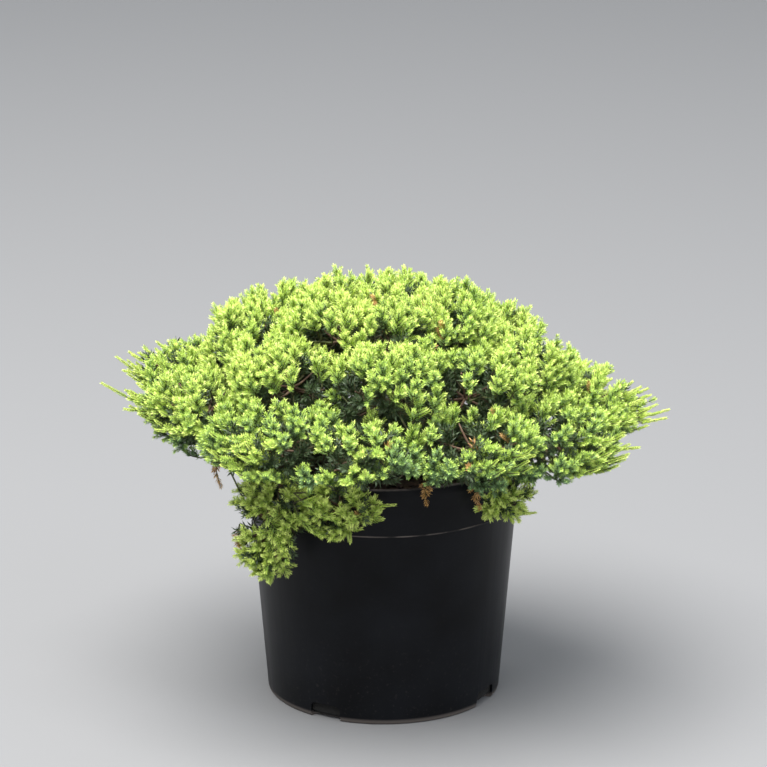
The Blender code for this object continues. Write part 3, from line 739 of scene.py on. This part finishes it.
# The dark hollows between the branches where the front shows its inside, as (place, radius).
HOLLOWS = (
    ((-0.064, -0.160, 0.398), 0.031), ((-0.042, -0.180, 0.389), 0.030), ((-0.117, -0.265, 0.342), 0.028),
    ((-0.085, -0.256, 0.343), 0.030), ((-0.049, -0.264, 0.348), 0.028), ((-0.082, -0.135, 0.422), 0.012),
    ((0.009, -0.099, 0.428), 0.013), ((0.080, -0.243, 0.358), 0.024), ((0.071, -0.152, 0.384), 0.018),
    ((0.110, -0.258, 0.318), 0.016), ((-0.018, -0.276, 0.330), 0.018), ((-0.105, -0.137, 0.374), 0.015),
    ((0.182, -0.185, 0.340), 0.018), ((0.101, -0.098, 0.417), 0.013), ((-0.160, -0.170, 0.345), 0.016),
)
# Patches of older, bluer growth in the shade of the plumes above, painted darker as painted shade, as (place,
# radius).
OLD_AND_SHADED_PATCHES = (
    ((0.085, -0.245, 0.330), 0.060), ((-0.150, -0.200, 0.300), 0.050), ((0.010, -0.240, 0.330), 0.040),
    ((0.020, 0.270, 0.330), 0.060), ((-0.240, 0.100, 0.305), 0.045), ((0.190, 0.180, 0.310), 0.055),
)
# The few shoots that have died back to orange-brown, and the tips of the dead sprays that hang down.
DEAD_SHOOTS = (
    (-0.009, -0.025, 0.449), (0.063, -0.081, 0.434), (0.056, -0.090, 0.420), (-0.113, 0.022, 0.427),
    (-0.133, -0.046, 0.420), (0.180, -0.144, 0.358), (0.060, 0.160, 0.400), (-0.050, 0.230, 0.350),
)
DEAD_REACH = 0.004
DEAD_SPRAYS = (
    (0.101, -0.165, 0.258), (0.045, -0.165, 0.262), (-0.172, -0.120, 0.267), (-0.150, -0.130, 0.196),
)
# The longest sprays, placed one by one where the photograph shows them, as (tip, way, length, leader).
LONG_SPRAYS = (
    ((-0.297, -0.100, 0.376), (-0.90, -0.15, 0.42), 0.105, 0.030),
    ((-0.286, 0.050, 0.346), (-0.98, 0.0, 0.12), 0.095, 0.030),
    ((-0.274, 0.080, 0.342), (-0.96, 0.20, 0.14), 0.090, 0.026),
    ((-0.272, -0.125, 0.355), (-0.93, -0.30, 0.12), 0.085, 0.012),
    ((-0.238, -0.150, 0.340), (-0.90, -0.40, 0.08), 0.070, 0.012),
    ((0.303, -0.050, 0.322), (0.97, -0.20, 0.10), 0.100, 0.026),
    ((0.285, -0.060, 0.330), (0.93, -0.25, 0.20), 0.085, 0.012),
    ((0.274, -0.050, 0.342), (0.93, -0.10, 0.34), 0.085, 0.012),
    ((0.279, 0.000, 0.342), (0.95, 0.05, 0.34), 0.090, 0.022),
    ((0.247, 0.000, 0.351), (0.90, 0.0, 0.42), 0.070, 0.012),
    ((0.206, 0.050, 0.369), (0.86, 0.0, 0.50), 0.060, 0.022),
    ((0.236, -0.100, 0.317), (0.92, -0.35, -0.05), 0.070, 0.010),
    ((0.230, -0.150, 0.294), (0.90, -0.35, -0.10), 0.070, 0.010),
    ((0.161, -0.124, 0.240), (0.97, -0.10, -0.15), 0.055, 0.016),
    ((0.119, -0.150, 0.247), (-0.10, -0.30, -0.90), 0.045, 0.006),
    ((0.012, -0.200, 0.274), (0.92, -0.15, -0.25), 0.075, 0.014),
    ((-0.032, -0.200, 0.252), (0.85, -0.20, -0.42), 0.070, 0.010),
    ((-0.048, -0.190, 0.232), (0.75, -0.20, -0.60), 0.060, 0.008),
    ((-0.100, -0.180, 0.203), (0.35, -0.20, -0.88), 0.065, 0.006),
    ((-0.124, -0.170, 0.190), (-0.20, -0.20, -0.94), 0.075, 0.008),
    ((-0.155, -0.150, 0.205), (-0.88, -0.20, -0.30), 0.065, 0.018),
    ((-0.156, -0.150, 0.221), (-0.95, -0.25, -0.05), 0.070, 0.010),
    ((-0.148, -0.140, 0.245), (-0.95, -0.20, 0.15), 0.065, 0.008),
    ((-0.143, -0.140, 0.260), (-0.90, -0.20, 0.35), 0.060, 0.008),
)
# Where the crown is a little flatter than the masses' eggs, as (place, radius).
FLATTER = (((-0.160, -0.020, 0.405), 0.080), ((-0.225, 0.045, 0.380), 0.065))
FLATTEN = 0.13
# Rows of sprays that fan out of the end of each low mass, as (rise, number, length).
EDGE_ROWS = ((0.62, 4, 0.074), (0.24, 5, 0.088), (-0.26, 4, 0.078))

shoot_rows = []
stalk_rows = []
link_rows = []


def crown_facing(place):
    """The way that the whole crown faces at a place on it."""
    way = place - CROWN_MIDDLE
    steep = Vector((way.x / CROWN_HALF[0] ** 2, way.y / CROWN_HALF[1] ** 2, way.z / CROWN_HALF[2] ** 2))
    return steep.normalized()


def nearness(place, spots):
    """How near a place is to the middle of any of the spots, from 0 to 1."""
    return max(math.exp(-((place - Vector(spot)).length / radius) ** 2) for spot, radius in spots)


def in_hollow(place, share):
    return any((place - Vector(spot)).length < radius * share for spot, radius in HOLLOWS)


def on_curve(a, b, c, s):
    return a * (1.0 - s) ** 2 + b * (2.0 * s * (1.0 - s)) + c * s ** 2


def add_plume(mass, tip, axis, length, draw, tone, shoots, reach, flatness=0.0, leader=0.0, kind=0.0):
    """A twig that ends at tip, with side shoots round its head, or to both sides where it is flat."""
    root = tip - axis * length
    if mass.kind != "droop" and kind < 2.0:
        root.z = max(root.z, underside(root) + 0.004)
    inward = (tip - mass.middle).normalized()
    bend = root + (axis * 0.35 + inward * 0.65 - UP * 0.15 * flatness).normalized() * (length * 0.5)
    level, upright = across(axis)
    turn = draw.uniform(0.0, 2.0 * math.pi)
    first = 0.34 - 0.16 * flatness
    last = 0.92 - leader / length
    for i in range(shoots):
        along = (i + draw.uniform(0.2, 0.8)) / shoots
        spot = on_curve(root, bend, tip, first + (last - first) * along)
        if flatness > 0.0:
            angle = (i % 2) * math.pi + draw.uniform(-0.6, 0.6)
            if i % 3 == 2:
                angle = 0.5 * math.pi + draw.uniform(-0.5, 0.5)
        else:
            angle = turn + i * GOLDEN_ANGLE
        lean = math.radians(60.0 - 32.0 * along - 8.0 * flatness) * draw.uniform(0.88, 1.12)
        side = level * math.cos(angle) - upright * math.sin(angle)
        way = (axis * math.cos(lean) + side * math.sin(lean) + UP * 0.22).normalized()
        size = reach * (1.12 - (0.42 + 0.30 * flatness) * along) * draw.uniform(0.80, 1.16)
        end = spot + way * size
        hidden = kind == 0.0 and in_hollow(end, 0.85)
        if not hidden and (mass.kind == "droop" or kind > 1.0 or end.z > underside(end)):
            shoot_rows.append((*spot, *end, tone + draw.uniform(-0.08, 0.08), draw.random(), 0.0, kind))
    final = leader if leader > 0.0 else reach * 0.8
    spot = on_curve(root, bend, tip, max(0.1, 1.0 - final / length))
    shoot_rows.append((*spot, *tip, tone, draw.random(), 1.0 if leader > 0.008 else 0.0, kind))
    stalk_rows.append((*root, *bend, *tip))
    stems = spray_stems[mass]
    if stems:
        nearest = min((point for stem in stems for point in stem), key=lambda p: (p - root).length)
        link_rows.append((*nearest, *root))


def shell(mass, direction, share):
    """A place on a mass's egg, which narrows to a blunt point at the outer end of a low mass."""
    place = mass.point(direction, share)
    step = place - mass.middle
    if mass.kind == "droop":
        down = min(max(-step.z / mass.half[2], 0.0), 1.0)
        side = step.dot(mass.sideways)
        return place - mass.sideways * (down * (0.45 * max(side, 0.0) + 0.010))
    if mass.kind != "low":
        return place
    along, side, rise = step.dot(mass.outward), step.dot(mass.sideways), step.dot(mass.upward)
    narrow = min(max(along / mass.half[0] - 0.15, 0.0), 1.0)
    side *= 1.0 - 0.45 * narrow
    rise *= 1.0 - (0.30 if rise > 0.0 else 0.62) * narrow
    return mass.middle + mass.outward * along + mass.sideways * side + mass.upward * rise


def outside(mass, place, slack):
    """Whether a place lies past one of the mass's walls by more than the slack."""
    return any(way.dot(place) > limit + slack for way, limit in mass.walls)


def egg_sites(mass, spacing):
    """Evenly spread directions over a mass's egg, about the given spacing apart on its surface."""
    a, b, c = (value ** 1.6075 for value in mass.half)
    area = 4.0 * math.pi * ((a * b + a * c + b * c) / 3.0) ** (1.0 / 1.6075) * 1.1
    count = int(area / (0.866 * spacing ** 2))
    for i in range(count):
        drop = 1.0 - 2.0 * (i + 0.5) / count
        ring = math.sqrt(1.0 - drop * drop)
        turn = i * GOLDEN_ANGLE
        yield Vector((ring * math.cos(turn), ring * math.sin(turn), drop))


def growth_and_light(place, facing):
    """How new the growth is at a place, with painted light: palest on top and greener low down, as painted
    light and shade, in broad uneven patches.
    """
    return (0.24 * noise.noise(place * 13.0) + 0.60 * (facing.z - 0.66) + 0.12 * abs(facing.x) ** 2
            - 0.34 * nearness(place, OLD_AND_SHADED_PATCHES))


for mass in masses:
    draw = random.Random(mass.seed + 11)
    droop = mass.kind == "droop"
    for direction in egg_sites(mass, PLUME_SPACING):
        jitter = Vector((draw.gauss(0.0, 0.06), draw.gauss(0.0, 0.06), draw.gauss(0.0, 0.06)))
        stretch = draw.uniform(0.85, 0.99) + 0.07 * noise.noise(mass.middle * 30.0 + direction * 2.4)
        wander = Vector((draw.gauss(0.0, 1.0), draw.gauss(0.0, 1.0), draw.gauss(0.0, 1.0))) * 0.20
        size = draw.uniform(0.80, 1.20)
        luck = draw.random()
        tip = shell(mass, direction + jitter, stretch - 0.14 * droop)
        tip = mass.middle.lerp(tip, 1.0 - FLATTEN * nearness(tip, FLATTER))
        facing = mass.facing(direction)
        whole = crown_facing(tip)
        if outside(mass, tip, 0.005) or in_hollow(tip, 1.0) or noise.noise(tip * 21.0) > 0.46:
            continue
        if droop:
            if facing.dot(level_way(mass.turn)) < -0.3 or luck < 0.25:
                continue
            axis = (facing * 0.5 + level_way(mass.turn) * 0.40 + UP * 0.25 + wander).normalized()
            # The hanging masses are painted paler, as painted light that makes up for the crown's shadow over
            # them.
            tone = 0.34 + draw.uniform(-0.12, 0.12)
        else:
            low_end = mass.kind == "low" and direction.x > 0.60
            if low_end or facing.dot(whole) < -0.25 or tip.z < underside(tip):
                continue
            if facing.z < -0.35 and luck < 0.5:
                continue
            axis = (whole * 0.55 + facing * 0.30 + UP * 0.32 + wander).normalized()
            # Plumes that face down are painted darker still, as painted shade.
            tone = growth_and_light(tip, whole) + draw.uniform(-0.10, 0.10) - 0.2 * (facing.z < -0.35)
        add_plume(mass, tip, axis, PLUME_LENGTH * size, draw, tone, PLUME_SHOOTS, SHOOT_LENGTH * size)

for mass in masses:
    if mass.kind != "low":
        continue
    draw = random.Random(mass.seed + 3)
    for direction, stretch in spray_directions(mass):
        draw.uniform(0.0, math.pi)
        draw.uniform(0.85, 1.15)
    edge = []
    for i in range(mass.leaders):
        side = (i - (mass.leaders - 1) / 2.0) * 0.62 + draw.uniform(-0.1, 0.1)
        direction = Vector((1.0, side, draw.uniform(0.0, 0.35))).normalized()
        edge.append((direction, 1.10 * draw.uniform(0.95, 1.05), 0.088, 0.022))
        draw.uniform(0.0, math.pi)
    for rise, count, length in EDGE_ROWS:
        for i in range(count):
            side = (i - (count - 1) / 2.0) * 1.9 / count + draw.uniform(-0.12, 0.12)
            direction = Vector((1.0, side, rise + draw.uniform(-0.12, 0.12))).normalized()
            edge.append((direction, draw.uniform(0.92, 1.04), length * draw.uniform(0.9, 1.1),
                         draw.uniform(0.007, 0.015)))
    for direction, stretch, length, leader in edge:
        tip = shell(mass, direction, stretch)
        tip = mass.middle.lerp(tip, 1.0 - FLATTEN * nearness(tip, FLATTER))
        if outside(mass, tip, 0.006) or tip.z < underside(tip) or in_hollow(tip, 0.7):
            continue
        way = (tip - mass.middle).normalized()
        axis = (level_way(mass.turn) * 0.35 + way * 0.70 + UP * draw.uniform(0.05, 0.40)).normalized()
        tone = growth_and_light(tip, crown_facing(tip)) + 0.20 + draw.uniform(-0.10, 0.12)
        add_plume(mass, tip, axis, length, draw, tone, 22, 0.0165, flatness=1.0, leader=leader)

draw = random.Random(83)
for place, way, length, leader in LONG_SPRAYS:
    tip = Vector(place)
    nearest = min(masses, key=lambda mass: (mass.middle - tip).length)
    count = int(length / 0.0040)
    add_plume(nearest, tip, Vector(way).normalized(), length, draw, 0.18 + draw.uniform(-0.08, 0.08), count,
              0.0165, flatness=1.0, leader=leader)

draw = random.Random(61)
for place in DEAD_SPRAYS:
    tip = Vector(place)
    nearest = min(masses, key=lambda mass: (mass.middle - tip).length)
    axis = (Vector((draw.uniform(-0.2, 0.2), -0.12, -1.0)) + level_way(nearest.turn) * 0.1).normalized()
    add_plume(nearest, tip, axis, 0.032, draw, 0.0, 6, 0.0075, flatness=0.6, leader=0.006, kind=2.0)

# The twigs inside, that close the view through the crown; their needles are painted near-black as painted
# shade.
CORE_MIDDLE = Vector((0.0, 0.0, 0.330))
CORE_HALF = (0.175, 0.170, 0.062)
CORE_PLUMES = 170
for mass in masses:
    draw = random.Random(mass.seed + 23)
    for direction in egg_sites(mass, 0.050):
        tip = shell(mass, direction, draw.uniform(0.58, 0.74))
        too_low = mass.kind != "droop" and tip.z < underside(tip)
        if outside(mass, tip, 0.0) or in_hollow(tip, 0.75) or too_low:
            continue
        axis = (mass.facing(direction) + UP * 0.4).normalized()
        add_plume(mass, tip, axis, 0.030, draw, 0.0, 6, 0.016, kind=1.0)
draw = random.Random(47)
for i in range(CORE_PLUMES):
    drop = 1.0 - 2.0 * (i + 0.5) / CORE_PLUMES
    ring = math.sqrt(1.0 - drop * drop)
    way = Vector((ring * math.cos(i * GOLDEN_ANGLE), ring * math.sin(i * GOLDEN_ANGLE), drop))
    tip = CORE_MIDDLE + Vector((way.x * CORE_HALF[0], way.y * CORE_HALF[1], way.z * CORE_HALF[2]))
    nearest = min(masses, key=lambda mass: (mass.middle - tip).length)
    add_plume(nearest, tip, way, 0.030, draw, 0.0, 6, 0.017, kind=1.0)

shoots = np.array(shoot_rows)
base, tip = shoots[:, 0:3], shoots[:, 3:6]
tone, luck, is_leader = shoots[:, 6], shoots[:, 7], shoots[:, 8] > 0.5
inner = (shoots[:, 9] == 1.0) * 1.0
withered = shoots[:, 9] == 2.0
for place in DEAD_SHOOTS:
    withered |= np.linalg.norm(tip - np.array(place), axis=1) < DEAD_REACH + 0.004 * luck
length = np.linalg.norm(tip - base, axis=1)
whorls = np.maximum(4, np.round(length / (WHORL_STEP * (1.0 + 1.6 * inner)))).astype(int)
rng = np.random.default_rng(19)

owner = np.repeat(np.arange(len(shoots)), whorls * 3)
first = np.cumsum(whorls * 3) - whorls * 3
order = np.arange(len(owner)) - first[owner]
whorl = order // 3
along = (whorl + 0.4 + rng.uniform(-0.25, 0.25, len(owner))) / whorls[owner]
angle = (order % 3) * (2.0 * np.pi / 3.0) + whorl * (np.pi / 3.0) + luck[owner] * 6.28
angle += rng.uniform(-0.3, 0.3, len(owner))
shoot_way = (tip - base) / length[:, None]
shoot_level = np.cross(shoot_way, (0.0, 0.0, 1.0))
size = np.linalg.norm(shoot_level, axis=1, keepdims=True)
shoot_level = np.where(size < 0.05, np.cross(shoot_way, (1.0, 0.0, 0.0)), shoot_level)
shoot_level /= np.linalg.norm(shoot_level, axis=1, keepdims=True)
shoot_upright = np.cross(shoot_way, shoot_level)
heading = shoot_way[owner]
spot = base[owner] + heading * (length[owner] * along)[:, None]
outward = shoot_level[owner] * np.cos(angle)[:, None] + shoot_upright[owner] * np.sin(angle)[:, None]
aside = np.cross(heading, outward)
lean = 49.0 - 17.0 * along ** 2.5 + rng.uniform(-7.0, 7.0, len(owner))
lean = np.radians(np.where(is_leader[owner], lean * 0.66, lean))[:, None]
needle_way = heading * np.cos(lean) + outward * np.sin(lean)
needle_normal = outward * np.cos(lean) - heading * np.sin(lean)
grown = (1.0 - 0.24 * along ** 2) * rng.uniform(0.85, 1.12, len(owner)) * (1.0 + 0.6 * inner[owner])
grown *= np.where(is_leader[owner], 0.85, 1.0)
needle_length = (NEEDLE_LENGTH * grown)[:, None]
needle_width = (NEEDLE_WIDTH * rng.uniform(0.85, 1.15, len(owner)) * (1.0 + 0.6 * inner[owner]))[:, None]
foot = spot + outward * 0.0003
belly = foot + needle_way * (needle_length * 0.36) + needle_normal * (needle_width * 0.28)
point = foot + needle_way * needle_length + heading * (needle_length * 0.06)
to_side = aside * needle_width * 0.5
kites = np.stack([foot, belly + to_side, point, belly - to_side], axis=1)

# A needle's tint rises towards the tip of its shoot and with the painted light and shade carried in tone; the
# darkest go to the old and shaded family.
shade = 0.17 + 0.72 * along ** 1.2 + tone[owner] + rng.uniform(-0.08, 0.08, len(owner))
shade = np.where(is_leader[owner], shade + 0.35, shade)
dead = (withered | (luck > 0.9992))[owner]
family = np.select([dead, inner[owner] > 0.5, shade > 0.88, shade > 0.50, shade > 0.18], [5, 0, 4, 3, 2], 1)

NEEDLE_COLOURS = (
    # The inner needles are painted near-black, as painted shade deep in the crown.
    ("needles_inner_painted_shade", (0.024, 0.046, 0.013), (0.052, 0.088, 0.026), 0.05),
    ("needles_old_and_shaded", (0.075, 0.165, 0.035), (0.130, 0.245, 0.065), 0.22),
    ("needles_green", (0.200, 0.350, 0.042), (0.300, 0.465, 0.070), 0.28),
    ("needles_lime", (0.410, 0.575, 0.065), (0.540, 0.700, 0.110), 0.18),
    ("needles_pale", (0.570, 0.700, 0.125), (0.700, 0.810, 0.210), 0.10),
    ("needles_brown", (0.360, 0.175, 0.045), (0.640, 0.380, 0.110), 0.10),
)
NEEDLE_UV = np.array([(0.5, 0.0), (0.0, 0.36), (0.5, 1.0), (0.5, 0.0), (0.5, 1.0), (1.0, 0.36)])
foliage_nodes = [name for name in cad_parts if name.startswith("foliage_")]

# The needles' tint: a mottled colour, and the two pale bands that a needle has along its inner side.
tint = bpy.data.node_groups.new("needle_tint", "ShaderNodeTree")
for name in ("Darker", "Paler"):
    tint.interface.new_socket(name, in_out="INPUT", socket_type="NodeSocketColor")
for name in ("Bloom", "Inner side"):
    tint.interface.new_socket(name, in_out="INPUT", socket_type="NodeSocketFloat")
tint.interface.new_socket("Colour", in_out="OUTPUT", socket_type="NodeSocketColor")
nodes, links = tint.nodes, tint.links
given = nodes.new("NodeGroupInput")
result = nodes.new("NodeGroupOutput")
place = nodes.new("ShaderNodeTexCoord")
mottle = noise_node(nodes, links, place, 70.0, 2.0)
fine = noise_node(nodes, links, place, 700.0, 1.0)
both = nodes.new("ShaderNodeMath")
both.operation = "ADD"
links.new(mottle.outputs["Fac"], both.inputs[0])
links.new(fine.outputs["Fac"], both.inputs[1])
spread_out = range_node(nodes, links, both.outputs["Value"], 0.75, 1.25, 0.0, 1.0)
leaf_colour = mix_colours(nodes, links, spread_out.outputs["Result"],
                          given.outputs["Darker"], given.outputs["Paler"])
needle_place = nodes.new("ShaderNodeSeparateXYZ")
links.new(place.outputs["UV"], needle_place.inputs["Vector"])
off_rib = nodes.new("ShaderNodeMath")
off_rib.operation = "PINGPONG"
off_rib.inputs[1].default_value = 0.5
links.new(needle_place.outputs["X"], off_rib.inputs[0])
bands = ramp_node(nodes, links, off_rib.outputs["Value"],
                  [(0.14, (0.0, 0.0, 0.0)), (0.22, (1.0, 1.0, 1.0)),
                   (0.36, (1.0, 1.0, 1.0)), (0.43, (0.0, 0.0, 0.0))])
on_inner = nodes.new("ShaderNodeMath")
on_inner.operation = "MULTIPLY"
links.new(bands.outputs["Color"], on_inner.inputs[0])
links.new(given.outputs["Inner side"], on_inner.inputs[1])
bloomed = nodes.new("ShaderNodeMath")
bloomed.operation = "MULTIPLY"
links.new(on_inner.outputs["Value"], bloomed.inputs[0])
links.new(given.outputs["Bloom"], bloomed.inputs[1])
banded = mix_colours(nodes, links, bloomed.outputs["Value"], leaf_colour.outputs["Result"],
                     (0.62, 0.76, 0.60))
links.new(banded.outputs["Result"], result.inputs["Colour"])

for number, (name, darker, paler, bloom) in enumerate(NEEDLE_COLOURS):
    leaf, nodes, links, shader, place = new_material(name)
    nodes.remove(place)
    tinted = nodes.new("ShaderNodeGroup")
    tinted.node_tree = tint
    tinted.inputs["Darker"].default_value = (*darker, 1.0)
    tinted.inputs["Paler"].default_value = (*paler, 1.0)
    tinted.inputs["Bloom"].default_value = bloom
    inner_side = nodes.new("ShaderNodeNewGeometry")
    links.new(inner_side.outputs["Backfacing"], tinted.inputs["Inner side"])
    links.new(tinted.outputs["Colour"], shader.inputs["Base Color"])
    shader.inputs["Roughness"].default_value = 0.5
    chosen = kites[family == number]
    pieces = max(1, math.ceil(len(chosen) * 2 / 190000))
    for part, share in enumerate(np.array_split(chosen, pieces)):
        faces = np.array([[0, 1, 2], [0, 2, 3]])[None] + np.arange(len(share))[:, None, None] * 4
        piece = array_piece(f"{name}_{part + 1}", share.reshape(-1, 3), faces.reshape(-1, 3), leaf)
        across_and_along = piece.data.uv_layers.new(name="needle")
        places_on_needle = np.tile(NEEDLE_UV, (len(share), 1)).astype(np.float32).ravel()
        across_and_along.data.foreach_set("uv", places_on_needle)
        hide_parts(*foliage_nodes)


# The thin twigs that carry the needles: mottled green and brown.
# Each is a three-sided taper, too small for more, and all are joined.
def tapers(paths, radii, sides=3):
    """Corners and faces of tapering twigs: paths is (twigs, rings, 3), radii one for each ring."""
    paths = np.asarray(paths, dtype=float)
    count, rings, _ = paths.shape
    ahead = np.gradient(paths, axis=1)
    ahead /= np.linalg.norm(ahead, axis=2, keepdims=True) + 1e-12
    level = np.cross(ahead, (0.0, 0.0, 1.0))
    size = np.linalg.norm(level, axis=2, keepdims=True)
    level = np.where(size < 0.05, np.cross(ahead, (1.0, 0.0, 0.0)), level)
    level /= np.linalg.norm(level, axis=2, keepdims=True)
    upright = np.cross(ahead, level)
    turn = 2.0 * np.pi * np.arange(sides) / sides
    reach = np.asarray(radii)[None, :, None]
    corners = (paths[:, :, None, :]
               + level[:, :, None, :] * (np.cos(turn) * reach)[..., None]
               + upright[:, :, None, :] * (np.sin(turn) * reach)[..., None])
    k = np.arange(sides)
    after = (k + 1) % sides
    faces = []
    for ring in range(rings - 1):
        low, high = ring * sides, (ring + 1) * sides
        faces.append(np.stack([low + k, high + after, low + after], axis=1))
        faces.append(np.stack([low + k, high + k, high + after], axis=1))
    last = (rings - 1) * sides
    faces.append(np.array([[0, 1, 2], [last, last + 2, last + 1]]))
    faces = np.concatenate(faces)
    offsets = np.arange(count)[:, None, None] * (rings * sides)
    return corners.reshape(-1, 3), (faces[None] + offsets).reshape(-1, 3)


stalks = np.array(stalk_rows)
steps = np.linspace(0.0, 1.0, 4)[None, :, None]
stalk_paths = (stalks[:, None, 0:3] * (1 - steps) ** 2 + stalks[:, None, 3:6] * (2 * steps * (1 - steps))
               + stalks[:, None, 6:9] * steps ** 2)
connections = np.array(link_rows)
link_paths = np.stack([connections[:, 0:3], connections[:, 3:6]], axis=1)
foot_ring = [base + (across_way * math.cos(turn) + up_way * math.sin(turn)) * 0.0007
             for turn in (0.0, 2.0 * math.pi / 3.0, 4.0 * math.pi / 3.0)
             for across_way, up_way in [(shoot_level, shoot_upright)]]
spike_corners = np.stack([*foot_ring, tip], axis=1).reshape(-1, 3)
spike_faces = np.array([[0, 1, 3], [1, 2, 3], [2, 0, 3], [0, 2, 1]])[None]
spike_faces = spike_faces + np.arange(len(base))[:, None, None] * 4
parts = [tapers(stalk_paths, (0.0010, 0.0009, 0.0007, 0.0003)), tapers(link_paths, (0.0011, 0.0010)),
         (spike_corners, spike_faces.reshape(-1, 3))]
corners = np.concatenate([some for some, _ in parts])
starts = np.cumsum([0] + [len(some) for some, _ in parts[:-1]])
faces = np.concatenate([some + start for (_, some), start in zip(parts, starts)])
twig_skin, nodes, links, shader, place = new_material("young_twigs")
blotches = noise_node(nodes, links, place, 120.0, 2.0)
twig_colour = ramp_node(nodes, links, blotches.outputs["Fac"],
                        [(0.35, (0.055, 0.040, 0.022)), (0.60, (0.100, 0.115, 0.038))])
links.new(twig_colour.outputs["Color"], shader.inputs["Base Color"])
shader.inputs["Roughness"].default_value = 0.8
twigs = array_piece("young_twigs", corners, faces, twig_skin)
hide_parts(*foliage_nodes)
